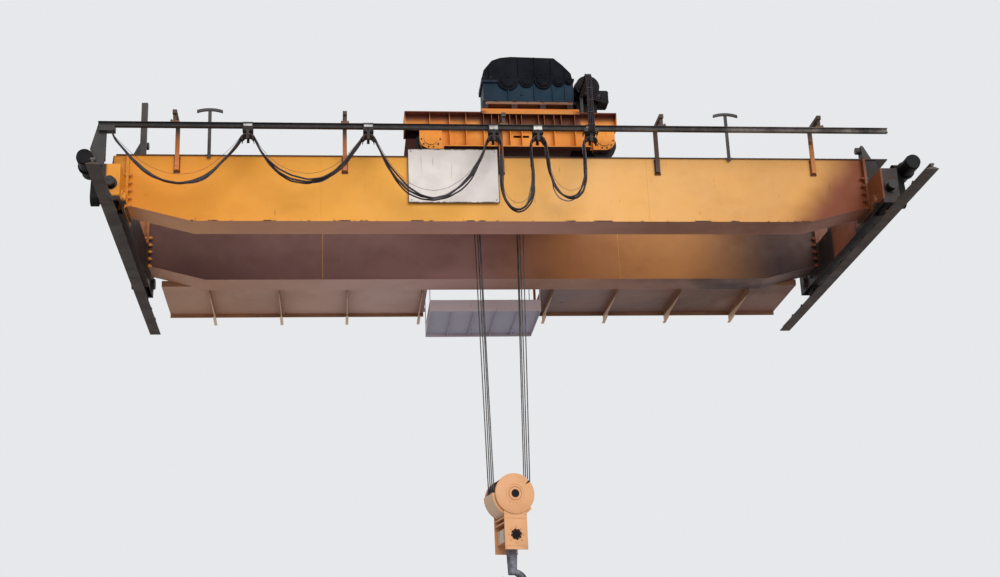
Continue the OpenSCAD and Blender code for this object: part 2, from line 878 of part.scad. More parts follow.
// where the falls leave the block and reach the crab, across the girders
block_y = mid_y - 105;
block_fall = [-132, -44, 44, 132];
top_fall = [-400, -130, 130, 400];
top_r = [360, 335, 335, 360];
module top_sheaves() {
    color(steel)
        union() {
            for (i = [0 : 3])
                sheave(hoist_x, block_y + top_fall[i], sheave_z, top_r[i]);
            bar_y(hoist_x, sheave_z, 800 + seat_gap, 2230 - seat_gap, 62.5, 40);
        }
}

// turns the block's pieces about the vertical line through its middle
module block_turned() {
    translate([hoist_x, block_y, 0])
        rotate([0, 0, block_turn])
            translate([-hoist_x, -block_y, 0])
                children();
}

// eight falls from the crab's sheaves down to the turned block
module hoist_ropes() {
    c = cos(block_turn);
    n = sin(block_turn);
    color(steel)
        for (s = [-1, 1], i = [0 : 3]) {
            out = s * sheave_r;
            off = block_fall[i];
            low = [hoist_x + out * c - off * n, block_y + out * n + off * c, block_z];
            high = [hoist_x + s * top_r[i], block_y + top_fall[i], sheave_z];
            tube([low, high], [rope_d / 2, rope_d / 2], 12);
        }
}

// cheek plate of the block: a round sheave guard above a square lower plate
module cheek(y) {
    along_y(y, y + 20)
        union() {
            translate([hoist_x, block_z])
                circle(r = 302, $fn = 72);
            translate([hoist_x - 175, block_z - 820])
                square([350, 620]);
        }
}

module block_cheeks() {
    y0 = block_y - 250;
    y1 = block_y + 230;
    color(orange)
        block_turned() difference() {
            union() {
                cheek(y0);
                cheek(y1);
                bar_y(hoist_x, block_z, y0 - 30, y1 + 50, 61.95, 40);
                for (y = [y0 - 24, y1 + 20])
                    bar_y(hoist_x, block_z, y, y + 24, 92, 40);
                bar_y(hoist_x, block_z, y0 + 19, block_y + block_fall[0] - 24 - seat_gap, 84, 40);
                bar_y(hoist_x, block_z, block_y + block_fall[3] + 24 + seat_gap, y1 + 1, 84, 40);
                for (z = [block_z - 335, block_z - 410])
                    block([hoist_x - 170, y0 + 19, z - 20], [hoist_x + 170, y1 + 1, z]);
                block([hoist_x - 150, y0 + 19, block_z - 700], [hoist_x + 150, y1 + 1, block_z - 500]);
                along_y(y0 + 19, y1 + 1)
                    translate([hoist_x, block_z])
                        difference() {
                            circle(r = 301, $fn = 72);
                            circle(r = 296, $fn = 72);
                            translate([-310, -130])
                                square([620, 440]);
                        }
                for (y = [y0, y1], a = [0 : 45 : 315])
                    bar_y(hoist_x + 115 * cos(a), block_z - 600 + 115 * sin(a), y - 14, y + 34, 13, 12);
            }
            translate([hoist_x, block_y, block_z - 720])
                cylinder(h = 240, r = 56.05, $fn = 40);
            for (y = [y0 - 40, y1 + 24])
                bar_y(hoist_x, block_z, y, y + 36, 30, 32);
            for (y = [y0 - 20, y1 - 10])
                bar_y(hoist_x, block_z - 600, y, y + 50, 80, 40);
        }
}

module block_sheaves() {
    color(steel)
        block_turned() difference() {
            union() {
                for (y = block_fall)
                    sheave(hoist_x, block_y + y, block_z, sheave_r);
                for (i = [0 : 2])
                    bar_y(hoist_x, block_z, block_y + block_fall[i] + 23, block_y + block_fall[i + 1] - 23, 90, 40);
            }
            bar_y(hoist_x, block_z, block_y - 180, block_y + 180, 62, 40);
        }
}

// single-point hook: nut, shank and a bill that narrows to its tip
hook_z = block_z - 1260;
bill_r = 150;
module lifting_hook() {
    arc = [for (a = [-165 : 15 : 120])
        [hoist_x - bill_r * sin(a), block_y, hook_z - bill_r * cos(a)]];
    size = [for (i = [0 : 19]) i < 4 ? 46 + i * 6 : (i < 12 ? 68 + 10 * sin((i - 4) * 20) : 68 - (i - 11) * 6)];
    color(dark)
        union() {
            tube(arc, size, 16);
            translate([hoist_x, block_y, hook_z + bill_r - 40])
                cylinder(h = block_z - 440 - hook_z - bill_r + 40, r = 56, $fn = 40);
            translate([hoist_x, block_y, hook_z + bill_r - 40])
                cylinder(h = block_z - 740 - hook_z - bill_r + 40, r1 = 66, r2 = 84, $fn = 40);
            translate([hoist_x, block_y, block_z - 500 + seat_gap])
                cylinder(h = 62, r = 100, $fn = 6);
        }
}

// festoon carriage: side plates with four rollers, and a round saddle for the cables
saddle_r = 90;
saddle_z = 1120;
module festoon_carriage(x) {
    w = 75;
    low = track_mid - 120;
    for (s = [-1, 1])
        block([x - w, track_y + s * 52 - 4, low], [x + w, track_y + s * 52 + 4, track_mid + 34]);
    block([x - w, track_y - 92, low], [x + w, track_y + 92, low + 12]);
    for (s = [-1, 1])
        block([x - 20, track_y + s * 88 - 4, saddle_z + 10], [x + 20, track_y + s * 88 + 4, low + 1]);
    for (s = [-1, 1], k = [-1, 1])
        bar_y(x + s * 48, track_mid - 8, track_y + (k > 0 ? 8 : -49), track_y + (k > 0 ? 49 : -8), 21.7, 32);
    along_y(track_y - 92, track_y + 92)
        difference() {
            translate([x, saddle_z])
                circle(r = saddle_r, $fn = 48);
            translate([x, saddle_z])
                circle(r = saddle_r - 10, $fn = 48);
            translate([x - 100, saddle_z - 100])
                square([200, 100]);
        }
}

module festoon_carriage_1() {
    color(steel)
        festoon_carriage(car_x[0]);
}

module festoon_carriage_2() {
    color(steel)
        festoon_carriage(car_x[1]);
}

module festoon_carriage_3() {
    color(steel)
        festoon_carriage(car_x[2]);
}

module festoon_carriage_4() {
    color(steel)
        festoon_carriage(car_x[3]);
}

module festoon_tow_clamp() {
    color(steel)
        festoon_carriage(tow_x);
}

// arm over the posts and down in front of the track to a fork around the tow clamp
module cable_tow_arm() {
    front = track_y - 150;
    high = frame_high + 330;
    fork = [track_mid - 112, track_mid - 60];
    color(dark)
        union() {
            block([tow_x - 22, 50, frame_high + 14], [tow_x + 22, 94, high]);
            block([tow_x - 22, front, high - 44], [tow_x + 22, 94, high]);
            block([tow_x - 22, front, fork[0]], [tow_x + 22, front + 40, high]);
            block([tow_x - 108, front, fork[0]], [tow_x + 108, front + 40, fork[1]]);
            for (s = [-1, 1])
                block([tow_x + s * 104 - 4, front, fork[0]], [tow_x + s * 104 + 4, track_y + 60, fork[1]]);
        }
}

module cable_loop(points) {
    color(dark)
        tube([for (p = points) [p[0], track_y, p[1]]], [for (p = points) cable_d / 2], 8);
}

// hanging points of each cable in X and Z, from one saddle's top to the next
module cable_loop_1() {
    cable_loop([[-20, 1250], [-20, 1215], [10, 1150], [80, 1060], [170, 950], [280, 820],
        [410, 685], [560, 575], [730, 495], [940, 455], [1130, 480], [1290, 550], [1430, 670],
        [1560, 820], [1690, 975], [1780, 1110], [1805, 1175], [1845, 1215], [1888, 1229]]);
}

module cable_loop_2() {
    cable_loop([[1912, 1229], [1955, 1215], [1995, 1175], [2020, 1110], [2090, 960],
        [2200, 800], [2340, 650], [2520, 540], [2760, 485], [2960, 525], [3130, 625],
        [3290, 780], [3420, 960], [3520, 1110], [3545, 1175], [3585, 1215], [3628, 1229]]);
}

module cable_loop_3() {
    cable_loop([[3652, 1229], [3695, 1215], [3735, 1175], [3755, 1110], [3850, 900],
        [3940, 720], [4050, 550], [4200, 370], [4390, 260], [4580, 225], [4780, 275],
        [4980, 420], [5130, 590], [5240, 780], [5320, 960], [5365, 1110], [5385, 1175],
        [5425, 1215], [5468, 1229]]);
}

module cable_loop_4() {
    cable_loop([[5492, 1229], [5535, 1215], [5575, 1175], [5592, 1110], [5590, 900],
        [5578, 650], [5578, 400], [5610, 220], [5690, 90], [5800, 35], [5910, 90], [5995, 220],
        [6040, 400], [6045, 650], [6035, 900], [6028, 1110], [6045, 1175], [6085, 1215],
        [6128, 1229]]);
}

module cable_loop_5() {
    cable_loop([[6152, 1229], [6195, 1215], [6235, 1175], [6252, 1110], [6272, 900],
        [6295, 650], [6350, 440], [6440, 300], [6560, 235], [6680, 260], [6770, 370],
        [6815, 540], [6830, 750], [6828, 950], [6818, 1110], [6835, 1175], [6875, 1215],
        [6918, 1229]]);
}

// crab wheels of one axle line: a wheel on each girder's rail
module crab_wheel(x, y) {
    translate([x, y, crab_axle_z])
        rotate([-90, 0, 0]) {
            rotate_extrude($fn = 64)
                polygon([[0, -48], [crab_wheel_r + 22, -48], [crab_wheel_r + 22, -39],
                    [crab_wheel_r, -36], [crab_wheel_r, 36], [crab_wheel_r + 22, 39],
                    [crab_wheel_r + 22, 48], [0, 48]]);
            cylinder(h = 470, r = 42, center = true, $fn = 32);
        }
}

module crab_wheels_left() {
    color(steel)
        for (y = [rail_front_y, rail_rear_y])
            crab_wheel(crab_axle_left, y);
}

module crab_wheels_right() {
    color(steel)
        for (y = [rail_front_y, rail_rear_y])
            crab_wheel(crab_axle_right, y);
}

runway_rail_left();
runway_rail_right();
front_girder_webs();
front_girder_deck();
front_girder_bottom();
rear_girder_webs();
rear_girder_deck();
rear_girder_bottom();
end_carriage_left();
end_carriage_right();
wheel_bearing_housings();
crab_rails();
rail_end_stops();
carriage_buffers();
walkway_deck();
walkway_brackets();
walkway_handrail();
service_platform();
festoon_track();
festoon_posts();
deck_t_posts();
cable_anchor();
sign_board();
travel_drive_left();
travel_drive_right();
bridge_wheel_front_left();
bridge_wheel_rear_left();
bridge_wheel_front_right();
bridge_wheel_rear_right();
crab_frame_front();
crab_frame_rear();
crab_cross_frame();
crab_axle_boxes();
gearbox_seat();
gearbox_lower_case();
gearbox_upper_case();
hoist_motor();
hoist_brake();
drum_pedestal();
top_sheaves();
cable_tow_arm();
crab_wheels_left();
crab_wheels_right();
rope_drum();
hoist_ropes();
block_cheeks();
block_sheaves();
lifting_hook();
festoon_carriage_1();
festoon_carriage_2();
festoon_carriage_3();
festoon_carriage_4();
festoon_tow_clamp();
cable_loop_1();
cable_loop_2();
cable_loop_3();
cable_loop_4();
cable_loop_5();
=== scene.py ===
import math
import bmesh
import bpy
import numpy as np
from mathutils import Matrix


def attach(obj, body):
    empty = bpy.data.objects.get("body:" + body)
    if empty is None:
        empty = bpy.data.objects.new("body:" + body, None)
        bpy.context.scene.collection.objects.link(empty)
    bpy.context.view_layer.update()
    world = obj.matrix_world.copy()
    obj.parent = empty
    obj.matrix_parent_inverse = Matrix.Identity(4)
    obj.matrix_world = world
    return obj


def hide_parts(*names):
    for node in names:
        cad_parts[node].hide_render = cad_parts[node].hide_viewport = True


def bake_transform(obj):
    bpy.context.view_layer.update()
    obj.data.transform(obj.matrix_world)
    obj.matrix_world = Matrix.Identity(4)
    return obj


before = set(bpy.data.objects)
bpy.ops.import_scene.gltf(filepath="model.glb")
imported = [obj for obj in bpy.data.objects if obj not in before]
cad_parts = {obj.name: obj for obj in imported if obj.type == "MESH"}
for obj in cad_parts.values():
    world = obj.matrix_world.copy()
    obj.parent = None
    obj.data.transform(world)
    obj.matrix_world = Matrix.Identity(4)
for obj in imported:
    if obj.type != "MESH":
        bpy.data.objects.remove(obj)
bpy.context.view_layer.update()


# shapes: each one is (points, faces), worked out as whole arrays

def loft(rows, closeRows=False):
    # a grid of rows x columns x 3 points; every row is a closed loop, joined to the next row, and the first and
    # last rows are capped, unless the last row joins on to the first
    count, around = rows.shape[:2]
    grid = np.arange(count * around).reshape(count, around)
    if closeRows:
        grid = np.vstack([grid, grid[:1]])
    right = np.roll(grid, -1, axis=1)
    faces = np.stack([grid[:-1], right[:-1], right[1:], grid[1:]], axis=-1).reshape(-1, 4).tolist()
    if not closeRows:
        faces += [grid[0][::-1].tolist(), grid[-1].tolist()]
    return rows.reshape(-1, 3), faces


def inset(outline, amount):
    # every corner moves in along the mean of its two edge normals, by amount from each edge
    ahead = np.roll(outline, -1, axis=0) - outline
    area = np.sum(outline[:, 0] * np.roll(outline[:, 1], -1) - np.roll(outline[:, 0], -1) * outline[:, 1])
    ahead = ahead / np.maximum(np.linalg.norm(ahead, axis=1, keepdims=True), 1e-9)
    normal = np.stack([-ahead[:, 1], ahead[:, 0]], axis=1) * np.sign(area)
    before = np.roll(normal, 1, axis=0)
    share = 1 + np.sum(normal * before, axis=1, keepdims=True)
    return outline + amount * (normal + before) / np.maximum(share, 0.35)


axisOrder = {"x": (2, 0, 1), "y": (0, 2, 1), "z": (0, 1, 2)}


def slab(outline, axis, start, end, chamfer=0.0):
    # a flat outline carried along one axis, with its two faces inset by the chamfer
    outline = np.asarray(outline, float)
    levels = [(start, chamfer), (start + chamfer, 0), (end - chamfer, 0), (end, chamfer)]
    if chamfer <= 0:
        levels = [(start, 0), (end, 0)]
    rows = np.array([np.column_stack([inset(outline, cut), np.full(len(outline), at)]) for at, cut in levels])
    return loft(rows[:, :, axisOrder[axis]])


def box(low, high, chamfer=0.0):
    (x0, y0, z0), (x1, y1, z1) = low, high
    return slab([(x0, y0), (x1, y0), (x1, y1), (x0, y1)], "z", z0, z1, chamfer)


def arcLength(path):
    # the length along a path from its start to every one of its points
    return np.concatenate([[0], np.cumsum(np.linalg.norm(np.diff(path, axis=0), axis=1))])


def resampled(path, count):
    path = np.asarray(path, float)
    length = arcLength(path)
    even = np.linspace(0, length[-1], count)
    return np.column_stack([np.interp(even, length, path[:, k]) for k in range(3)])


def straight(start, end, step):
    start, end = np.asarray(start, float), np.asarray(end, float)
    count = max(2, int(np.linalg.norm(end - start) / step))
    return start + (end - start) * np.linspace(0, 1, count)[:, None]


def tube(path, radius, around=12, side=(0, 1, 0), lobes=0, lay=0.2):
    # a circle of the radius carried along the path; with lobes, its radius waves round and turns with length.
    # across = side x tangent, and other = tangent x across
    path = np.asarray(path, float)
    radius = np.broadcast_to(radius, len(path))[:, None]
    tangent = np.gradient(path, axis=0)
    tangent /= np.linalg.norm(tangent, axis=1, keepdims=True)
    across = np.cross(np.broadcast_to(np.asarray(side, float), path.shape), tangent)
    across /= np.linalg.norm(across, axis=1, keepdims=True)
    other = np.cross(tangent, across)
    angle = np.linspace(0, 2 * np.pi, around, endpoint=False)[None, :] + np.zeros((len(path), 1))
    if lobes:
        turned = 2 * np.pi * arcLength(path)[:, None] / lay
        radius = radius * (0.87 + 0.13 * np.abs(np.cos(lobes / 2 * (angle - turned))))
    rows = path[:, None, :] + radius[..., None] * (
        np.cos(angle)[..., None] * across[:, None, :] + np.sin(angle)[..., None] * other[:, None, :])
    return loft(rows)


def turnTo(axis):
    # the three unit vectors of a frame whose third one is the axis
    third = np.asarray(axis, float) / np.linalg.norm(axis)
    first = np.cross([0, 1, 0] if abs(third[1]) < 0.9 else [1, 0, 0], third)
    first /= np.linalg.norm(first)
    return first, np.cross(third, first), third


def lathe(profile, centre, axis, around=32, closed=False):
    # a profile of (radius, distance along the axis) turned about the axis; closed when the profile is a loop
    profile = np.asarray(profile, float)
    first, second, third = turnTo(axis)
    angle = np.linspace(0, 2 * np.pi, around, endpoint=False)
    spoke = np.cos(angle)[:, None] * first + np.sin(angle)[:, None] * second
    rows = np.asarray(centre, float) + profile[:, None, :1] * spoke + profile[:, None, 1:] * third
    return loft(rows, closed)


def moved(shape, places):
    # copies of a shape, one at every place
    points, faces = shape
    places = np.asarray(places, float).reshape(-1, 3)
    copies = [[i + k * len(points) for i in face] for k in range(len(places)) for face in faces]
    return (points[None] + places[:, None]).reshape(-1, 3), copies


def aboutUp(points, centre, angle):
    # points turned about the upright line through a centre
    c, s = math.cos(angle), math.sin(angle)
    return (points - centre) @ np.array([[c, s, 0], [-s, c, 0], [0, 0, 1]]) + centre


def join(*shapes):
    points, faces, shift = [], [], 0
    for shapePoints, shapeFaces in shapes:
        points.append(shapePoints)
        faces += [[i + shift for i in face] for face in shapeFaces]
        shift += len(shapePoints)
    return np.vstack(points), faces


def gridOf(*lists):
    return np.array(np.meshgrid(*lists, indexing="ij")).reshape(len(lists), -1).T


def hexBolt(axis, size, height, washer=True):
    # a chamfered six-sided head on a round washer, standing on the origin along the axis
    r = size / math.sqrt(3)
    low = 0.004 if washer else 0.0
    head = lathe([(r, low), (r, low + height * 0.8), (r * 0.82, low + height)], (0, 0, 0), axis, 6)
    if not washer:
        return head
    return join(head, lathe([(r * 1.25, 0), (r * 1.25, 0.004)], (0, 0, 0), axis, 14))


def boltsAt(places, axis, size, height, washer=True):
    return moved(hexBolt(axis, size, height, washer), places)


def nutAndEnd(axis, size):
    # a nut with the end of its bolt standing out of it
    r = size / math.sqrt(3)
    nut = lathe([(r * 0.9, 0), (r, 0.003), (r, size * 0.7), (r * 0.85, size * 0.8)], (0, 0, 0), axis, 6)
    end = [(size * 0.3, size * 0.78), (size * 0.3, size * 1.15), (size * 0.22, size * 1.25)]
    return join(nut, lathe(end, (0, 0, 0), axis, 10))


def makePiece(name, shapes, kind, body, smooth=35, replaced=()):
    # one mesh of the shapes, merged and with its faces outwards, riding on a body
    points, faces = join(*shapes)
    mesh = bpy.data.meshes.new(name)
    mesh.from_pydata(points.tolist(), [], faces)
    work = bmesh.new()
    work.from_mesh(mesh)
    bmesh.ops.remove_doubles(work, verts=work.verts, dist=1e-6)
    bmesh.ops.recalc_face_normals(work, faces=work.faces)
    work.to_mesh(mesh)
    work.free()
    mesh.polygons.foreach_set("use_smooth", np.ones(len(mesh.polygons), bool))
    mesh.set_sharp_from_angle(angle=math.radians(smooth))
    mesh.materials.append(finish.get(kind))
    piece = bpy.data.objects.new(name, mesh)
    bpy.context.scene.collection.objects.link(piece)
    if body:
        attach(piece, body)
    if replaced:
        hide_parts(*replaced)
    return piece


# materials: small helpers, then one function for each kind of finish

def tone(red, green, blue):
    # a screen colour, 0 to 255, as the linear value a shader takes
    value = np.array([red, green, blue]) / 255
    linear = np.where(value <= 0.04045, value / 12.92, ((value + 0.055) / 1.055) ** 2.4)
    return (*linear.tolist(), 1.0)


def addNode(tree, kind, **inputs):
    # a node with its sockets linked or set, by name, or by number after an underscore
    node = tree.nodes.new("ShaderNode" + kind)
    for name, value in inputs.items():
        socket = node.inputs[int(name[1:]) if name[0] == "_" else name.replace("_", " ")]
        if isinstance(value, bpy.types.NodeSocket):
            tree.links.new(value, socket)
        else:
            socket.default_value = value
    return node


class Finish:
    # a material's node tree and its colour so far; most methods add their nodes and return an output
    def __init__(self, name):
        self.material = bpy.data.materials.new(name)
        self.material.use_nodes = True
        self.tree = self.material.node_tree
        self.tree.nodes.clear()
        self.place = self.add("TexCoord").outputs["Object"]

    def add(self, kind, **inputs):
        return addNode(self.tree, kind, **inputs)

    def noise(self, scale, detail=4.0, rough=0.55, stretch=None, twist=0.0):
        place = self.add("Mapping", Vector=self.place, Scale=stretch).outputs["Vector"] if stretch else self.place
        return self.add("TexNoise", Vector=place, Scale=scale, Detail=detail, Roughness=rough,
                        Distortion=twist).outputs["Fac"]

    def ramp(self, value, low, high, smooth=True):
        # 0 below low and 1 above high
        node = self.add("MapRange", Value=value, From_Min=low, From_Max=high)
        node.interpolation_type = "SMOOTHSTEP" if smooth else "LINEAR"
        return node.outputs["Result"]

    def clouds(self, low, high, *noise):
        # a noise, 0 where it is below low and 1 above high
        return self.ramp(self.noise(*noise), low, high)

    def sums(self, kind, first, second):
        node = self.add("Math", _0=first, _1=second)
        node.operation = kind
        return node.outputs[0]

    def times(self, first, second):
        return self.sums("MULTIPLY", first, second)

    def mix(self, share, first, second):
        # from the first colour to the second one; each is an output or a screen colour
        node = self.add("Mix")
        node.data_type = "RGBA"
        for socket, value in ((0, share), (6, first), (7, second)):
            if isinstance(value, bpy.types.NodeSocket):
                self.tree.links.new(value, node.inputs[socket])
            else:
                node.inputs[socket].default_value = tone(*value)
        return node.outputs[2]

    def coat(self, share, other):
        # another colour over the one so far
        self.colour = self.mix(share, self.colour, other)

    def axis(self, which):
        return self.add("SeparateXYZ", _0=self.place).outputs[which]

    def facing(self, which, least, full):
        # 1 where the surface faces along an axis ("x", "-z"), 0 where its share of the normal is below least
        normal = self.add("NewGeometry").outputs["Normal"]
        share = self.add("SeparateXYZ", _0=normal).outputs["xyz".index(which[-1])]
        return self.ramp(self.times(share, -1.0) if which[0] == "-" else share, least, full)

    def along(self, stops):
        # a tone that changes from stop to stop along x; a stop is a place and a screen colour
        at, colour = self.axis(0), stops[0][1]
        for (before, _), (after, other) in zip(stops, stops[1:]):
            colour = self.mix(self.ramp(at, before, after), colour, other)
        return colour

    def within(self, low, high, soft):
        # 1 inside a box, fading to 0 over soft outside it; a side of more than 50 m is not looked at
        share = None
        for which in range(3):
            if high[which] - low[which] > 50:
                continue
            at = self.axis(which)
            both = self.times(self.ramp(at, low[which] - soft, low[which]),
                              self.sums("SUBTRACT", 1.0, self.ramp(at, high[which], high[which] + soft)))
            share = both if share is None else self.times(share, both)
        return share

    def close(self, rough, metal=0.0, bump=None, depth=0.002, fine=None, specular=0.5):
        # the shader of the colour so far, with a deep and a fine bump one after the other
        shader = self.add("BsdfPrincipled", Base_Color=self.colour, Roughness=rough, Metallic=metal)
        shader.inputs["Specular IOR Level"].default_value = specular
        normal = None
        for height, distance in ((bump, depth), (fine, depth * 0.3)):
            if height is None:
                continue
            before = {} if normal is None else {"Normal": normal}
            normal = self.add("Bump", Distance=distance, Strength=0.7, Height=height, **before).outputs["Normal"]
        if normal is not None:
            self.tree.links.new(normal, shader.inputs["Normal"])
        self.add("OutputMaterial", _0=shader.outputs[0])
        return self.material


paintDefaults = {"fade": 1.0, "marks": 0.35, "dust": 0.75, "dustTone": (112, 92, 72), "shine": 0.25}


def paintedSteel(name, paint, faded, dirt, soot, streaks, rustAbove, special=None):
    # two tones of paint, soot in soft clouds, streaks that run down, and rust where the paint has gone, with painted
    # light and shade: tones along x, areas, a painted shadow beyond a slope, and painted shade on faces that look
    # down
    f = Finish(name)
    p = {**paintDefaults, **(special or {})}
    # stops along x; on the girders they are partly painted light and shade
    paint = f.along(paint) if isinstance(paint, list) else paint
    f.colour = f.mix(f.times(f.clouds(0.38, 0.62, 0.55, 3), p["fade"]), paint, faded)
    if "alongZ" in p:
        low, high, other = p["alongZ"]
        f.coat(f.ramp(f.axis(2), low, high), other)
    # areas of another tone; on the crab, the carriages and the posts they are painted light and shade
    for low, high, soft, other in p.get("areas", ()):
        f.coat(f.within(low, high, soft), other)
    if "front" in p:
        # faces to the front that lie deep in the shade
        low, high, soft, other = p["front"]
        f.coat(f.times(f.within(low, high, soft), f.facing("-y", 0.3, 0.7)), other)
    if "slope" in p:
        # painted shadow beyond a ragged line x = place + lean z
        place, lean, wide, other = p["slope"]
        beyond = f.sums("SUBTRACT", f.axis(0), f.times(f.axis(2), lean))
        beyond = f.sums("ADD", beyond, f.times(f.noise(2.4, 4), 0.2))
        f.coat(f.ramp(beyond, place, place + wide), other)
    # faces that look along +y get the plain paint, in place of the painted light and shade on the front
    if "back" in p:
        f.coat(f.facing("y", 0.3, 0.7), p["back"])
    if "dashes" in p:
        # dark dashes inside a box; on the girder it is the bottom flange's front edge
        low, high, soft, other = p["dashes"]
        dashed = f.clouds(0.50, 0.56, 1.0, 4, 0.6, (2.6, 0.2, 0.2))
        f.coat(f.times(f.within(low, high, soft), dashed), other)
    cloud = f.times(f.clouds(0.46, 0.78, 1.3, 6, 0.62, (1, 1, 1.6)), soot)
    drip = f.clouds(0.60, 0.72, 1.0, 5, 0.6, (16, 16, 0.9), 0.25)
    streak = f.times(f.times(drip, f.clouds(0.44, 0.66, 0.9, 2)), streaks)
    # short dark marks, longer than they are wide
    mark = f.times(f.clouds(0.685, 0.72, 1.0, 3, 0.5, (20, 20, 3.6), 0.1), p["marks"])
    for share in (cloud, streak, mark):
        f.coat(share, dirt)
    # painted shade on faces that look down, with its own tones along x
    if "under" in p:
        below = f.mix(f.times(f.clouds(0.4, 0.65, 0.8, 4), 0.4), f.along(p["under"]), p["underShadeFaded"])
        f.coat(f.facing("-z", 0.45, 0.8), below)
    layer = f.times(f.clouds(0.3, 0.7, 2.2, 5), p["dust"])
    f.coat(f.times(f.facing("z", 0.5, 0.9), layer), p["dustTone"])
    # rust in spots, more of them where a slow noise is high
    where = f.times(f.clouds(0.45, 0.72, 0.7, 2, 0.5, (1, 1, 2.2)), 0.09)
    rust = f.ramp(f.sums("ADD", f.noise(9, 8, 0.7), where), rustAbove, rustAbove + 0.03)
    f.coat(rust, f.mix(f.noise(40, 3), (74, 40, 26), (122, 66, 38)))
    uneven = f.sums("ADD", f.times(f.noise(6, 4), 0.5), f.times(cloud, 0.6))
    rough = f.ramp(f.sums("ADD", uneven, rust), -0.9, 1.4)
    skin = f.sums("SUBTRACT", f.noise(24, 3), f.times(rust, 0.6))
    return f.close(rough, bump=f.noise(1.7, 2), depth=0.006, fine=skin, specular=p["shine"])


def bareSteel(name, steel, scale, rustTone, rust, metal, worn=None):
    # rolled or cast steel: mill scale, rust clouds and, where asked, a bright band along a rail's head that is wear
    # and a painted highlight
    f = Finish(name)
    grain = f.noise(14, 8, 0.68)
    steel = f.along(steel) if isinstance(steel, list) else steel
    f.colour = f.mix(f.clouds(0.36, 0.64, 2.1, 6, 0.6), steel, scale)
    f.coat(f.times(f.ramp(grain, 0.50, 0.68), rust), rustTone)
    rough = f.ramp(grain, -0.6, 1.1)
    if worn:
        # the bright band: the rail head's wear with a painted highlight on it
        bright = f.ramp(f.axis(2), *worn, False)
        polishedAndLit = f.mix(f.noise(30, 4, 0.6, (0.1, 1, 1)), (150, 148, 145), (104, 100, 98))
        f.coat(bright, polishedAndLit)
        rough = f.sums("SUBTRACT", rough, f.times(bright, 0.25))
    return f.close(rough, metal, bump=grain, depth=0.0015, fine=f.noise(70, 3))


def cableRubber(name, base, dustAndHighlight, sheen):
    # rubber with a sheen from wear, its upper side lighter with dust and a painted highlight, and faint scuffs
    f = Finish(name)
    f.colour = f.mix(f.times(f.clouds(0.5, 0.75, 26, 5, 0.7), 0.5), base, dustAndHighlight)
    # upper side lighter: dust and a painted highlight
    f.coat(f.times(f.facing("z", 0.35, 0.95), 0.6), dustAndHighlight)
    return f.close(f.clouds(-0.4, 2.4, 18, 4), bump=f.noise(60, 2), depth=0.0006, specular=sheen)


def ropeWire(name):
    # greased steel wire, dark in places
    f = Finish(name)
    f.colour = f.mix(f.clouds(0.4, 0.66, 7, 6, 0.65), (96, 92, 92), (58, 52, 50))
    return f.close(f.clouds(-0.5, 1.3, 30, 3), 0.6, bump=f.noise(140, 2), depth=0.0008)


def boardPaint(name):
    # white board, bare, darkened at its upper and lower edge, with thin rust runs
    f = Finish(name)
    f.colour = f.mix(f.clouds(0.4, 0.68, 2.4, 5), (226, 216, 210), (214, 204, 198))
    drip = f.clouds(0.6, 0.7, 1.0, 5, 0.6, (22, 22, 1.1), 0.3)
    run = f.times(drip, f.clouds(0.42, 0.62, 1.4, 2))
    f.coat(f.times(run, 0.7), (150, 112, 84))
    smear = f.clouds(0.62, 0.78, 5, 7, 0.7)
    f.coat(f.times(smear, 0.12), (150, 142, 138))
    edge = f.sums("MAXIMUM", f.ramp(f.axis(2), 1.195, 1.218), f.ramp(f.times(f.axis(2), -1.0), -0.385, -0.363))
    f.coat(f.times(edge, f.clouds(0.35, 0.6, 16, 5)), (104, 84, 68))
    return f.close(f.clouds(-0.6, 1.4, 9, 4), bump=f.noise(2.2, 2), depth=0.008, fine=smear)
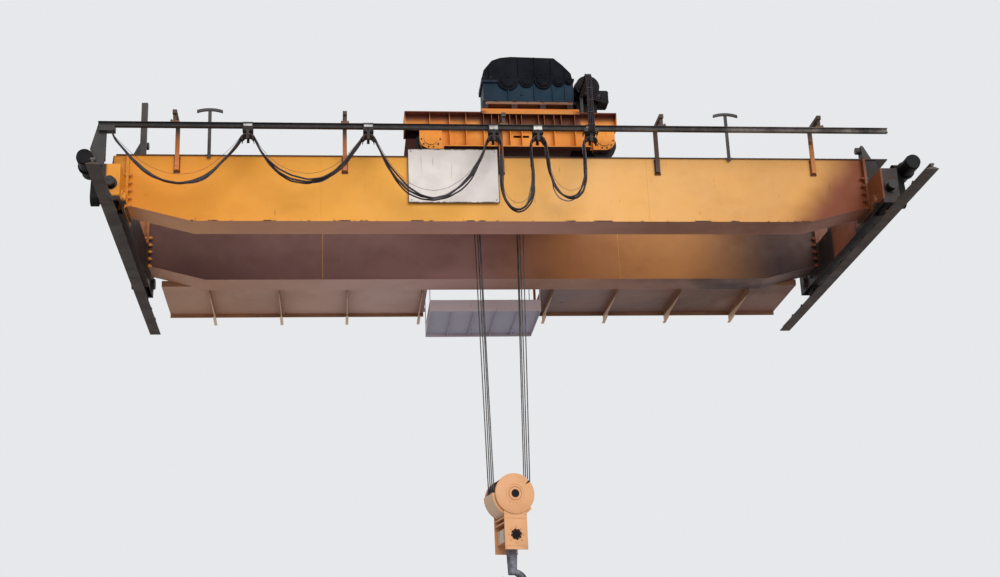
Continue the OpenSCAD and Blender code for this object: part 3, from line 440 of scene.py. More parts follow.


# paint or its stops along x, faded tone, dirt tone, soot, streaks, the noise above which it rusts, and what is
# special; an area is its low corner, its high corner, the width it fades over, and its tone. The girders' stops, the
# slopes and the areas of the crab, the carriages and the posts are painted light and shade; every under tone is
# painted shade
paints = {
    # front girder: its stops along x are partly painted light, pale in the middle, and its under tones are painted
    # shade
    "girder": ([(0.4, (226, 142, 34)), (4.6, (232, 164, 64)), (6.6, (236, 178, 106)), (10.2, (212, 154, 84))],
               (236, 164, 52), (120, 68, 34), 0.14, 0.14, 0.76, {
        "slope": (9.75, 0.8, 0.8, (120, 54, 16)), "back": (226, 150, 58),
        "dashes": ((0, -0.03, 0.0), (60, -0.019, 0.0865), 0.002, (52, 30, 22)), "fade": 0.3, "marks": 0.6,
        "under": [(0.6, (204, 142, 98)), (5.4, (188, 132, 118)), (8.5, (138, 86, 56)), (10.4, (112, 60, 44))],
        "underShadeFaded": (176, 122, 98)}),
    # rear girder: its stops along x are painted shade and light, dark at the ends and lighter in the middle; its
    # slope is a painted shadow at the right end and its under tones are painted shade
    "rearGirder": ([(0.6, (72, 38, 36)), (3.0, (112, 76, 72)), (5.2, (180, 138, 136)), (7.0, (178, 116, 66)),
                    (8.7, (190, 128, 68)), (10.6, (48, 28, 26))], (136, 92, 74), (78, 50, 44), 0.25, 0.25, 0.74, {
        "slope": (11.0, 0.2, 0.3, (44, 26, 24)), "back": (214, 140, 62), "fade": 0.2,
        "under": [(1.0, (188, 138, 112)), (4.2, (196, 158, 148)), (7.2, (150, 102, 84)), (10.0, (70, 46, 42))],
        "underShadeFaded": (176, 130, 108)}),
    "deck": ((50, 38, 34), (84, 56, 40), (24, 18, 18), 0.4, 0.2, 0.7, {
        "under": [(0.4, (96, 66, 52)), (10.0, (80, 58, 50))], "underShadeFaded": (70, 52, 48)}),
    "crab": ((232, 136, 32), (238, 154, 56), (96, 52, 26), 0.34, 0.4, 0.72, {
        # painted shade on the crab: the upper row of the frames, under the seat and the left end darker; a band on
        # the seat's top edge stays near the paint's own tone; the under tones are painted shade too
        "areas": [((4.0, 0.015, 1.83), (5.38, 0.46, 1.95), 0.12, (98, 46, 24)),
                  ((6.86, 0.015, 1.84), (7.8, 0.46, 1.95), 0.12, (110, 54, 26)),
                  ((5.38, 0.015, 1.67), (6.88, 0.46, 1.95), 0.05, (112, 58, 32)),
                  ((5.3, -0.9, 1.89), (6.95, 1.0, 1.96), 0.01, (216, 122, 34)),
                  ((3.9, 0.5, 1.1), (4.3, 3.7, 1.853), 0.03, (124, 70, 42))],
        "front": ((3.9, 0.2, 1.1), (7.9, 3.7, 1.853), 0.02, (74, 48, 50)),
        "under": [(4.2, (104, 66, 62)), (7.4, (96, 60, 62))], "underShadeFaded": (110, 66, 50)}),
    # end carriages: the near-black paint is painted shade, and the areas are their orange paint at painted lighter
    # and darker levels; the under tones are painted shade
    "carriage": ((32, 26, 24), (50, 36, 30), (24, 20, 20), 0.6, 0.6, 0.67, {
        "areas": [((-0.04, -0.8, 0.24), (0.6, 0.62, 2), 0.04, (226, 146, 44)),
                  ((10.9, -0.8, 0.24), (11.27, 0.62, 2), 0.04, (122, 70, 40)),
                  ((10.9, 0.75, 0.1), (11.28, 1.7, 2), 0.12, (138, 78, 50)),
                  ((-1, 2.3, 0.7), (1, 4, 2), 0.03, (170, 106, 60)),
                  ((10.6, 2.3, 0.7), (13, 4, 2), 0.03, (120, 76, 56))],
        "under": [(0, (70, 50, 44)), (11, (48, 38, 36))], "underShadeFaded": (52, 42, 42)}),
    "block": ((218, 158, 110), (224, 170, 124), (132, 84, 56), 0.34, 0.4, 0.73, {
        "under": [(5, (214, 150, 106)), (6, (204, 142, 100))], "underShadeFaded": (196, 136, 96)}),
    "walkway": ([(0.5, (166, 116, 80)), (9.0, (136, 94, 70))], (150, 108, 82), (92, 66, 54), 0.4, 0.4, 0.71, {
        "under": [(1.0, (192, 146, 120)), (4.2, (200, 164, 152)), (6.8, (132, 106, 104)), (10.0, (114, 78, 64))],
        "underShadeFaded": (164, 122, 104)}),
    # pale paint: on the guard band and the bracket edges its light tone is a painted highlight
    "pale": ((238, 208, 180), (226, 190, 158), (120, 90, 70), 0.3, 0.2, 0.74, {
        "under": [(1, (244, 214, 188)), (10, (210, 168, 136))], "underShadeFaded": (226, 190, 160)}),
    "platform": ((206, 192, 198), (190, 174, 178), (120, 108, 112), 0.3, 0.25, 0.73, {
        "under": [(4.8, (176, 172, 188)), (6.6, (168, 162, 178))], "underShadeFaded": (160, 154, 170)}),
    "dark": ((58, 54, 54), (72, 66, 64), (30, 26, 26), 0.5, 0.4, 0.66, {"dust": 0.5}),
    "post": ([(5.6, (224, 130, 66)), (7.2, (64, 50, 46)), (9.2, (64, 50, 46)), (9.9, (186, 116, 60))],
             (150, 88, 48), (64, 44, 36), 0.5, 0.8, 0.66, {
        # the post's base plate on the web darkened as a painted shadow
        "areas": [((0, -0.0125, 0.8), (60, 0.01, 1.1), 0.003, (112, 62, 34))],
        "fade": 0.35, "alongZ": (1.22, 1.5, (72, 54, 46))}),
    "teal": ((8, 34, 50), (14, 44, 60), (6, 12, 20), 0.5, 0.5, 0.73, {
        "alongZ": (2.38, 2.44, (16, 30, 46)),
        "areas": [((4, -1, 1.5), (8, 3, 2.085), 0.006, (138, 98, 76)),
                  ((4, -1, 1.5), (8, 3, 2.035), 0.006, (58, 40, 32)),
                  ((5.3, -1, 2.0), (5.44, 3, 2.7), 0.01, (20, 30, 46)),
                  ((6.8, -1, 2.0), (6.9, 3, 2.7), 0.01, (20, 30, 46))],
        "shine": 0.12}),
    "navy": ((7, 8, 16), (12, 13, 24), (6, 6, 9), 0.5, 0.3, 0.76, {
        "dust": 0.4, "dustTone": (58, 52, 48), "shine": 0.06}),
    "motor": ((13, 12, 15), (22, 20, 23), (8, 7, 8), 0.5, 0.3, 0.72, {
        "dust": 0.4, "dustTone": (64, 56, 52), "shine": 0.1}),
    "drive": ((18, 17, 19), (28, 26, 28), (12, 11, 11), 0.6, 0.4, 0.75, {"shine": 0.1}),
}
# steel or its stops along x, scale, rust tone, share of rust, metallic, and the z to z of a bright band of wear and
# painted highlight
steels = {
    "track": ([(1.0, (30, 28, 28)), (6.0, (52, 48, 46)), (10.5, (120, 112, 106))],
              (44, 40, 40), (72, 52, 44), 0.4, 0.2),
    "runwayRail": ((86, 78, 74), (62, 54, 50), (104, 66, 46), 0.8, 0.35, (0.08, 0.0895)),
    # crab rails: their dark purple tone is partly painted shade under the crab
    "crabRail": ((66, 52, 64), (48, 38, 46), (84, 54, 46), 0.6, 0.3, (1.21, 1.2195)),
    "wheel": ((56, 52, 52), (38, 34, 36), (72, 52, 44), 0.45, 0.5),
    "hook": ((140, 140, 150), (44, 42, 46), (78, 60, 54), 0.3, 0.85),
    "hanger": ((58, 54, 54), (40, 36, 38), (84, 58, 46), 0.45, 0.4),
    "bolt": ((96, 80, 66), (66, 52, 44), (100, 64, 44), 0.7, 0.5),
    "darkBolt": ((52, 44, 42), (34, 30, 30), (70, 48, 40), 0.5, 0.4),
    "zinc": ((206, 204, 200), (168, 166, 162), (140, 110, 88), 0.3, 0.6),
}
finish = {name: paintedSteel(name + "_paint_finish", *row) for name, row in paints.items()}
finish.update({name: bareSteel(name + "_steel_finish", *row) for name, row in steels.items()})
finish["cable"] = cableRubber("cable_rubber_finish", (30, 21, 27), (84, 70, 80), 0.3)
# a pale grey cable; its light tone also paints highlights along the loops
finish["greyHighlightCable"] = cableRubber("grey_highlight_cable_finish", (112, 104, 112), (160, 152, 158), 0.9)
finish["buffer"] = cableRubber("buffer_rubber_finish", (16, 14, 15), (40, 36, 36), 0.2)
finish["rope"] = ropeWire("rope_finish")
finish["board"] = boardPaint("board_finish")
print("finishes ready:", len(finish))


# camera first, at the photograph's viewing angle

photoView = {"place": (3.138, -20.786, -8.230), "yaw": 0.1152, "pitch": 0.3337, "roll": -0.0409, "lens": 54.61}


def placed(name, data, turned, place=(0, 0, 0)):
    # an object at a place, with the columns of turned as its axes
    thing = bpy.data.objects.new(name, data)
    bpy.context.scene.collection.objects.link(thing)
    matrix = np.eye(4)
    matrix[:3, :3], matrix[:3, 3] = turned, place
    thing.matrix_world = Matrix(matrix.tolist())
    return thing


def makeCamera(view):
    # forward from yaw and pitch, right level with the ground, then both right and up turned by the roll
    yaw, pitch, roll = view["yaw"], view["pitch"], view["roll"]
    forward = np.array([math.sin(yaw) * math.cos(pitch), math.cos(yaw) * math.cos(pitch), math.sin(pitch)])
    right = np.array([math.cos(yaw), -math.sin(yaw), 0.0])
    up = np.cross(right, forward)
    turned = np.column_stack([math.cos(roll) * right + math.sin(roll) * up,
                              -math.sin(roll) * right + math.cos(roll) * up, -forward])
    data = bpy.data.cameras.new("photoCamera")
    data.sensor_width, data.lens = 36.0, view["lens"]
    data.clip_start, data.clip_end = 0.5, 400.0
    bpy.context.scene.camera = placed("photoCamera", data, turned, view["place"])


makeCamera(photoView)

lighting = {"sky": 0.50, "backdrop": (0.80, 0.81, 0.83), "sun": 2.0, "sunFrom": (0.22, -0.9, 0.30), "sunAngle": 50,
            "floorLow": (-90, -90, -11.7), "floorHigh": (100, 100, -11.6), "floorTone": (0.62, 0.62, 0.62)}


def makeStage(p):
    # a pale level floor, a plain world that the camera and shiny things see as a pale backdrop, and one soft sun
    floor = makePiece("studioFloor", [box(p["floorLow"], p["floorHigh"])], None, None)
    f = Finish("floor_finish")
    f.colour = (*p["floorTone"], 1.0)
    floor.data.materials[0] = f.close(0.8)
    world = bpy.data.worlds.new("studioWorld")
    bpy.context.scene.world = world
    world.use_nodes = True
    tree = world.node_tree
    tree.nodes.clear()
    path = addNode(tree, "LightPath")
    seen = path.outputs["Is Camera Ray"]
    for other in ("Is Glossy Ray", "Is Transmission Ray"):
        either = addNode(tree, "Math", _0=seen, _1=path.outputs[other])
        either.operation = "MAXIMUM"
        seen = either.outputs[0]
    pale = addNode(tree, "Background", Color=(*p["backdrop"], 1.0))
    lit = addNode(tree, "Background", Color=(1.0, 1.0, 1.0, 1.0), Strength=p["sky"])
    mix = addNode(tree, "MixShader", _0=seen, _1=lit.outputs[0], _2=pale.outputs[0])
    addNode(tree, "OutputWorld", _0=mix.outputs[0])
    sun = bpy.data.lights.new("softSun", "SUN")
    sun.energy, sun.angle = p["sun"], math.radians(p["sunAngle"])
    placed("softSun", sun, np.column_stack(turnTo(p["sunFrom"])))
    bpy.context.scene.view_settings.view_transform = "Standard"


makeStage(lighting)
print("camera and stage ready")


# festoon cables: a bundle of cables and one thin tow wire between every two saddles

festoon = {
    "trackY": -0.5, "saddleTop": 1.229, "rows": 150,
    # x of each carriage in millimetres
    "carriages": {"carriage_1": 1900, "carriage_2": 3640, "carriage_3": 5480, "carriage_4": 6140, "tow_clamp": 6930},
    # how a loop leaves a carriage's saddle; it comes to the next one in the mirrored way
    "leaving": [(12, 1229), (55, 1215), (95, 1175)],
    "start": [(-20, 1250), (-20, 1215), (10, 1150), (80, 1060)],
    # the points (x, z) of each loop between its saddles
    "loops": [
        [(170, 950), (280, 820), (410, 685), (560, 575), (730, 495), (940, 455), (1130, 480), (1290, 550),
         (1430, 670), (1560, 820), (1690, 975), (1780, 1110)],
        [(2020, 1110), (2090, 960), (2200, 800), (2340, 650), (2520, 540), (2760, 485), (2960, 525),
         (3130, 625), (3290, 780), (3420, 960), (3520, 1110)],
        [(3755, 1110), (3850, 900), (3940, 720), (4050, 550), (4200, 370), (4390, 260), (4580, 225),
         (4780, 275), (4980, 420), (5130, 590), (5240, 780), (5320, 960), (5365, 1110)],
        [(5592, 1110), (5590, 900), (5578, 650), (5578, 400), (5610, 220), (5690, 90), (5800, 35), (5910, 90),
         (5995, 220), (6040, 400), (6045, 650), (6035, 900), (6028, 1110)],
        [(6252, 1110), (6272, 900), (6295, 650), (6350, 440), (6440, 300), (6560, 235), (6680, 260),
         (6770, 370), (6815, 540), (6830, 750), (6828, 950), (6818, 1110)]],
    # finish, place across the saddle, diameter, share of the route's sag in each loop, sway, waves, phase
    "cables": {"main": ("cable", 0.0, 0.030, (1.0, 1.0, 1.0, 1.0, 1.0), 0.010, 3.0, 0.4),
               "power": ("cable", -0.036, 0.026, (1.035, 0.970, 0.985, 0.975, 0.985), 0.016, 4.0, 2.1),
               "hoist": ("cable", 0.034, 0.024, (0.965, 1.025, 1.03, 1.02, 0.985), 0.014, 5.0, 4.0),
               "control": ("greyHighlightCable", 0.062, 0.018, (0.985, 0.990, 0.965, 0.95, 1.008), 0.020, 6.0, 5.2),
               "towWire": ("rope", -0.068, 0.006, (0.86, 0.87, 0.90, 0.92, 0.90), 0.0, 1.0, 0.0)},
    # the last three loops sway more
    "wide": (1.0, 1.0, 1.6, 1.6, 1.6), "inside": 0.1,
}


def smoothRoute(route, y, sag, sway, waves, phase, p):
    # the route resampled at even steps and averaged over its neighbours, its depth below the saddle times sag,
    # then moved sideways in its own plane by sway * sin(pi s) * sin(pi waves s + phase)
    points = np.array(route) / 1000
    path = resampled(np.column_stack([points[:, 0], np.full(len(points), y), points[:, 1]]), p["rows"])
    kernel = np.array([1, 2, 3, 2, 1]) / 9
    for _ in range(3):
        padded = np.vstack([2 * path[0] - path[2:0:-1], path, 2 * path[-1] - path[-2:-4:-1]])
        path = np.column_stack([np.convolve(padded[:, k], kernel, "valid") for k in range(3)])
    path[:, 2] = p["saddleTop"] + (path[:, 2] - p["saddleTop"]) * np.where(path[:, 2] < p["saddleTop"], sag, 1.0)
    share = np.linspace(0, 1, p["rows"])
    ahead = np.gradient(path[:, [0, 2]], axis=0)
    ahead /= np.linalg.norm(ahead, axis=1, keepdims=True)
    aside = sway * np.sin(np.pi * share) * np.sin(np.pi * waves * share + phase)
    return path + np.column_stack([-ahead[:, 1] * aside, 0.25 * aside, ahead[:, 0] * aside])


def makeCables(p):
    lengths = []
    bodies, places = ["bridge", *p["carriages"]], list(p["carriages"].values())
    for number, hanging in enumerate(p["loops"]):
        before = [(places[number - 1] + x, z) for x, z in p["leaving"]] if number else p["start"]
        after = [(places[number] - x, z) for x, z in p["leaving"][::-1]]
        for label, (kind, offset, diameter, sags, sway, waves, phase) in p["cables"].items():
            path = smoothRoute(before + hanging + after, p["trackY"] + offset, sags[number],
                               sway * p["wide"][number], waves, phase + number, p)
            wire = label == "towWire"
            name = f"loop_{number + 1}_{label}"
            piece = makePiece(name, [tube(path, diameter / 2, 8 if wire else 14)], kind, None)
            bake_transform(piece)
            if label == "main":
                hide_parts(f"cable_loop_{number + 1}")
            length = float(np.linalg.norm(np.diff(path, axis=0), axis=1).sum())
            lengths.append((name, round(length, 2)))
    print("cables:", lengths)


makeCables(festoon)


# hoist ropes: eight falls of laid wire rope, their turns on the sheaves and on the drum

hoist = {
    "x": 5.72, "y": 1.41, "blockZ": -3.77, "blockR": 0.28, "turned": math.radians(12), "crabZ": 1.68,
    # y of each sheave on the block, y and radius of its place on the crab, and whether it's an outer one,
    # with a rope to the drum and a fixed end
    "sheaves": ((-0.132, -0.4, 0.36, True), (-0.044, -0.13, 0.335, False),
                (0.044, 0.13, 0.335, False), (0.132, 0.4, 0.36, True)),
    "rope": 0.018, "lay": 0.21, "step": 0.0125, "lobes": 6, "arcRows": 72,
    "drum": {"x": 5.81, "z": 2.46, "r": 0.3085, "pitch": 0.022, "coils": ((0.762, 1.0095), (2.170, 1.8095)),
             "rowsPerTurn": 40},
    "anchor": {"x": 6.30, "foot": 1.868, "half": 0.05, "thick": 0.02, "rib": 0.20, "ribHalf": 0.006,
               "socket": [(0.012, 0), (0.020, 0.01), (0.030, 0.09), (0.030, 0.12), (0.018, 0.14)],
               "socketFrom": 0.13, "ropeEnd": 0.1},
}


def ringOf(centre, r, angles):
    # points round a centre at the angles, in the xz plane
    return np.asarray(centre, float) + r * np.column_stack([np.cos(angles), np.zeros(len(angles)), np.sin(angles)])


def ropeAlong(path, p):
    return tube(path, p["rope"] / 2, 10, lobes=p["lobes"], lay=p["lay"])


def makeRopes(p):
    middle = np.array([p["x"], p["y"], 0.0])
    drum, anchor = p["drum"], p["anchor"]
    falls, underBlock, overCrab, coils, anchors = [], [], [], [], []
    for blockY, crabY, crabR, outer in p["sheaves"]:
        blockCentre, crabCentre = middle + [0, blockY, p["blockZ"]], middle + [0, crabY, p["crabZ"]]
        under = aboutUp(ringOf(blockCentre, p["blockR"], np.linspace(0, -np.pi, p["arcRows"])), middle, p["turned"])
        underBlock.append(ropeAlong(under, p))
        left, right = crabCentre - [crabR, 0, 0], crabCentre + [crabR, 0, 0]
        falls += [ropeAlong(straight(top, end, p["step"]), p) for top, end in ((left, under[-1]), (right, under[0]))]
        if not outer:
            overCrab.append(ropeAlong(ringOf(crabCentre, crabR, np.linspace(0, np.pi, p["arcRows"])), p))
            continue
        over = ringOf(crabCentre, crabR, np.linspace(np.pi, np.pi / 2, 40))
        _, y, z = over[-1]
        x, foot = anchor["x"], anchor["foot"]
        away = straight(over[-1], [x - anchor["ropeEnd"], y, z], 0.02)[1:]
        toDrum = straight(right, [drum["x"] + drum["r"], y, drum["z"]], p["step"])
        overCrab += [ropeAlong(np.vstack([over, away]), p), ropeAlong(toDrum, p)]
        face = x + anchor["thick"]
        anchors += [lathe(anchor["socket"], (x - anchor["socketFrom"], y, z), (1, 0, 0), 20),
                    box((x, y - anchor["half"], foot), (face, y + anchor["half"], z + 0.05), 0.003),
                    slab([(face, foot), (x + anchor["rib"], foot), (face, z)], "y",
                         y - anchor["ribHalf"], y + anchor["ribHalf"])]
    for start, end in drum["coils"]:
        turns = abs(end - start) / drum["pitch"]
        along = np.linspace(end, start, int(turns * drum["rowsPerTurn"]))
        circle = ringOf((drum["x"], 0, drum["z"]), drum["r"], 2 * np.pi * turns * np.linspace(0, 1, len(along)))
        coils.append(tube(circle + along[:, None] * [0, 1, 0], p["rope"] / 2, 8))
    piece = makePiece("hoist_rope_falls", falls, "rope", None, 50, ("hoist_ropes",))
    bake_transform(piece)
    makePiece("block_rope_turns", underBlock, "rope", "hook_block", 50)
    makePiece("crab_rope_turns", overCrab, "rope", "crab", 50)
    makePiece("drum_rope_coils", coils, "rope", "drum", 50)
    makePiece("rope_anchors", anchors, "crab", "crab")


makeRopes(hoist)
print("ropes reeved")


# gear case: bolts, bearing covers, a top cover with a breather and a handle, ribs and oil fittings

gearCase = {
    "front": 0.09, "back": 0.62, "split": 2.46, "left": 5.40, "right": 6.84, "flange": 0.036, "top": 2.875,
    # x and radius of each bearing boss; the first is the drum's, whose shaft goes in from behind
    "bosses": ((5.81, 0.167), (6.10, 0.115), (6.36, 0.140), (6.60, 0.095), (6.76, 0.060)),
    "drumX": 5.81, "footZ": 2.08, "footX": (5.44, 5.89, 6.33, 6.75), "footY": (0.082, 0.628),
    "lugX": (5.62, 6.10, 6.56), "lugY": (0.078, 0.632),
    "cover": ((5.95, 0.19), (6.45, 0.52)), "coverThick": 0.012, "coverBolts": ((5.98, 6.42), (0.215, 0.495)),
    "middleY": 0.355, "handle": (6.02, 6.20, 0.05), "breatherX": 6.36,
    "breather": [(0.018, 0), (0.018, 0.03), (0.034, 0.032), (0.034, 0.07), (0.02, 0.085)],
    "ribs": ((5.52, 0.21), (5.98, 0.40), (6.23, 0.40), (6.49, 0.38), (6.70, 0.20)), "ribHalf": 0.006,
    "plug": (5.6, 2.12, [(0.02, 0), (0.02, 0.008), (0.012, 0.01), (0.012, 0.022)]),
    "glass": (6.02, 2.24, [(0.03, 0), (0.03, 0.01), (0.02, 0.012), (0.004, 0.012)]),
}


def makeGearCase(p):
    front, back, split, roof = p["front"], p["back"], p["split"], p["top"] + p["coverThick"]
    eight = np.linspace(0, 2 * np.pi, 8, endpoint=False) + 0.39
    caps = []
    for x, r in p["bosses"]:
        inner = r * 0.62
        profile = [(inner * 1.22, -0.001), (inner * 1.22, 0.010), (inner, 0.012), (inner, 0.020),
                   (inner * 0.42, 0.024), (inner * 0.38, 0.016), (0.004, 0.016)]
        for y, out in ((front, -1), (back, 1)):
            if x == p["drumX"] and out > 0:
                continue
            ring = ringOf((x, y + out * 0.010, split), inner * 1.1, eight)
            caps += [lathe(profile, (x, y, split), (0, out, 0), 40),
                     boltsAt(ring, (0, out, 0), min(0.022, r * 0.18), 0.012, False)]
    makePiece("gear_bearing_covers", caps, "navy", "crab")
    edge = gridOf(np.linspace(p["left"] + 0.045, p["right"] - 0.045, 15), [front + 0.016, back - 0.016],
                  [split + p["flange"]])
    # a flange bolt is left out where it would stand on a boss
    bossX, bossR = np.array(p["bosses"]).T
    clear = np.min(np.abs(edge[:, :1] - bossX) - bossR, axis=1) > 0.02
    up = (0, 0, 1)
    bolts = [boltsAt(edge[clear], up, 0.03, 0.018),
             boltsAt(gridOf(p["footX"], p["footY"], [p["footZ"]]), up, 0.046, 0.03),
             boltsAt(gridOf(p["lugX"], p["lugY"], [p["footZ"]]), up, 0.03, 0.02)]
    makePiece("gear_case_bolts", bolts, "darkBolt", "crab")
    low, high = p["cover"]
    cover = box((*low, p["top"] - 0.004), (*high, roof), 0.003)
    (x0, x1), ends = p["coverBolts"]
    start, end, rise = p["handle"]
    along = np.linspace(0, np.pi, 24)
    arch = roof + rise * np.sin(along) ** 0.6
    bow = np.column_stack([np.linspace(start, end, 24), np.full(24, p["middleY"]), arch])
    parts = [cover, lathe(p["breather"], (p["breatherX"], p["middleY"], roof), up, 20), tube(bow, 0.007, 8),
             boltsAt(gridOf(np.linspace(x0, x1, 6), ends, [roof]), up, 0.018, 0.01)]
    makePiece("gear_top_cover", parts, "navy", "crab")
    half, low = p["ribHalf"], split + p["flange"]
    ribs = [box((x - half, front + 0.004, low), (x + half, back - 0.004, split + high), 0.002)
            for x, high in p["ribs"]]
    makePiece("gear_case_ribs", ribs, "navy", "crab")
    fittings = [lathe(profile, (x, front + 0.03, z), (0, -1, 0), sides)
                for (x, z, profile), sides in ((p["plug"], 6), (p["glass"], 24))]
    makePiece("gear_oil_fittings", fittings, "teal", "crab")


makeGearCase(gearCase)
print("gear case dressed")


# crab: axle plate bolts, the gear case seat's front skirt, cable bundle along the tow arm, motor details

crab = {
    "axles": (4.59, 7.23), "axleZ": 1.4203, "plates": ((0.0, -1), (0.5, 1), (2.53, -1), (3.03, 1)),
    "boltR": 0.142, "lowBolts": (-175, -140, -105, -75, -40, -5), "highBolts": (0.13, 0.15),
    "skirt": (((5.384, -0.016, 1.832), (6.876, -0.004, 1.905), 0.002),
              ((5.384, -0.006, 1.893), (6.876, 0.0497, 1.905), 0.0)),
    "arm": {"x": 6.93, "front": -0.65, "top": 2.19,
            # each cable's place across the arm and its diameter
            "cables": ((-0.036, 0.026), (-0.012, 0.024), (0.013, 0.026), (0.037, 0.022)),
            # up the front: sideways, gap to the arm, z; over the top: y, gap to the arm
            "up": ((0, 0.001, 1.262), (0, 0.001, 1.6), (0.004, 0.004, 1.9), (0, 0.002, 2.12)),
            "over": ((-0.63, 0.012), (-0.55, 0.002), (-0.3, 0.001), (0.0, 0.001)),
            # down to the motor: x past the cable's own, y, z, and a step in z from cable to cable
            "down": ((0.08, 0.10, 2.235, 0.012), (0.26, 0.20, 2.20, 0.02)), "end": (7.30, 0.33, 2.23, 0.04),
            "strapHalf": (0.052, 0.008), "strapZ": (1.36, 1.56, 1.76, 1.96, 2.1), "strapY": (-0.5, -0.28, -0.06)},
    "motor": {"x": 7.06, "z": 2.40, "front": 0.13, "rings": (0.03, 0.055, 0.08, 0.105, 0.13), "wire": 0.004,
              "reach": 0.135, "lid": ((7.40, 0.35, 2.22), (7.412, 0.59, 2.41)), "lidInset": 0.015},
}


def makeCrab(p):
    bolts = []
    dx, dz = p["highBolts"]
    for x in p["axles"]:
        for y, out in p["plates"]:
            low = ringOf((x, y, p["axleZ"]), p["boltR"], np.radians(p["lowBolts"]))
            high = gridOf([x - dx, x + dx], [y], [p["axleZ"] + dz])
            bolts.append(boltsAt(np.vstack([low, high]), (0, out, 0), 0.022, 0.012, False))
    makePiece("axle_plate_bolts", bolts, "darkBolt", "crab")
    makePiece("seat_front_skirt", [box(*part) for part in p["skirt"]], "crab", "crab")
    arm = p["arm"]
    front, top = arm["front"], arm["top"]
    cables = []
    for k, (aside, d) in enumerate(arm["cables"]):
        x = arm["x"] + aside
        corners = [(x + sway * (-1) ** k, front - d / 2 - gap, z) for sway, gap, z in arm["up"]]
        corners += [(x, y, top + d / 2 + gap) for y, gap in arm["over"]] + [(x + 0.01, 0.07, top + 0.01 + d)]
        corners += [(x + past, y, z + step * k) for past, y, z, step in arm["down"]]
        endX, endY, endZ, step = arm["end"]
        path = resampled(corners + [(endX, endY, endZ + step * k)], 110)
        for _ in range(4):
            path[1:-1] = (path[:-2] + 2 * path[1:-1] + path[2:]) / 4
        cables.append(tube(path, d / 2, 10, side=(1, 0.01, 0.02)))
    wide, half = arm["strapHalf"]
    left, right = arm["x"] - wide, arm["x"] + wide
    straps = [box((left, front - 0.030, z - half), (right, front + 0.002, z + half), 0.003) for z in arm["strapZ"]]
    straps += [box((left, y - half, top - 0.002), (right, y + half, top + 0.030), 0.003) for y in arm["strapY"]]
    makePiece("tow_arm_cables", cables, "cable", "crab")
    makePiece("tow_arm_straps", straps, "hanger", "crab")
    motor = p["motor"]
    x, z, front, wire, reach = motor["x"], motor["z"], motor["front"], motor["wire"], motor["reach"]
    rings = [lathe([(r - wire, 0), (r + wire, 0), (r + wire, 0.006), (r - wire, 0.006)], (x, front - 0.008, z),
                   (0, 1, 0), 40, True) for r in motor["rings"]]
    spokes = [box((x - dx, front - 0.006, z - dz), (x + dx, front + 0.001, z + dz), 0.001)
              for dx, dz in ((reach, wire), (wire, reach))]
    (x0, y0, z0), (x1, y1, z1) = motor["lid"]
    margin = motor["lidInset"]
    corners = gridOf([x1], [y0 + margin, y1 - margin], [z0 + margin, z1 - margin])
    lidBolts = boltsAt(corners, (1, 0, 0), 0.014, 0.008, False)
    lid = box(*motor["lid"], 0.003)
    makePiece("motor_fan_grille", [*rings, *spokes, lid, lidBolts], "motor", "crab")


makeCrab(crab)
print("crab dressed")


# bridge: joint bolts, weld seams, rail clips, post bolts, bracket edges pale as painted highlights, board rim,
# carriage clips, end plates, anchor brace

bridge = {
    "girder": (0.17, 11.23), "bottom": 0.086, "top": 1.104, "jointY": (-0.045, 2.505),
    "jointZ": (0.30, 0.42, 0.54, 0.66, 0.78), "jointThick": 0.04, "webY": (0.0, 2.55), "seams": (2.95, 7.85),
    "haunch": 1.08,
    "clip": [(-0.028, 0.0), (0.028, 0.0), (0.028, 0.012), (-0.004, 0.020), (-0.028, 0.020)], "clipHalf": 0.022,
    "crabRail": {"x": np.arange(0.35, 11.2, 0.62), "y": (0.24, 2.79), "z": 1.130, "off": (0, 0.062, 0)},
    "runwayRail": {"x": (0.0, 11.4), "y": np.arange(-1.62, 4.7, 0.55), "z": 0.024, "off": (0.064, 0, 0)},
    "posts": (0.85, 3.3, 5.64, 8.02, 10.45),
    # bolts of a post: places beside its x, y, z, then axis, size, height and washer
    "postBolts": (((-0.038, 0.038), (-0.012,), (0.845, 1.065), (0, -1, 0), 0.020, 0.012, False),
                  ((0,), (-0.066,), (1.54, 1.58), (0, -1, 0), 0.022, 0.014, True),
                  ((-0.045, 0.045), (-0.522, -0.478), (1.432,), (0, 0, 1), 0.018, 0.012, True)),
    "brackets": (1.1, 2.23, 3.35, 4.59, 6.79, 7.88, 8.98, 10.16),
    # pale edges of a bracket, painted highlights: outline (y, z), start and end beside its x, chamfer
    "bracketEdges": (([(3.28, 0.009), (4.51, 0.073), (4.51, -0.05), (4.14, -0.03)], 0.001, 0.009, 0.0),
                     ([(4.13, -0.029), (4.52, -0.051), (4.52, -0.060), (4.13, -0.038)], -0.02, 0.03, 0.001)),
    # strips of the board's rim: low x and z, high x and z
    "rim": ((4.232, 0.352, 5.588, 0.360), (4.232, 1.220, 5.588, 1.228), (4.232, 0.360, 4.240, 1.220),
            (5.580, 0.360, 5.588, 1.220)),
    "rimY": (-0.050, -0.038), "boardPins": ((4.28, 5.54), (-0.046,), (0.40, 1.18)),
    "hanger": {"half": 0.062, "backY": -0.557, "clipY": -0.569, "lipY": -0.580, "top": 1.366, "lipTop": 1.370,
               "shallow": 0.030, "deep": 0.055, "deepFrom": 4, "boltY": -0.556},
    "endPlate": {"x": 0.17, "z": 0.45, "r": 0.235, "arc": (112, 248), "edge": 0.128, "y": (-0.3880, -0.3755),
                 "boltR": 0.20, "bolts": (125, 150, 180, 210, 235)},
    "brace": ([(-0.225, 1.402), (-0.050, 1.335), (-0.100, 1.250), (-0.200, 0.860), (-0.330, 0.990)], -0.492, -0.480),
    "braceFoot": ([(-0.335, 0.990), (-0.195, 0.855), (-0.13, 0.72), (-0.13, 0.701), (-0.22, 0.701)], -0.495, -0.477),
}


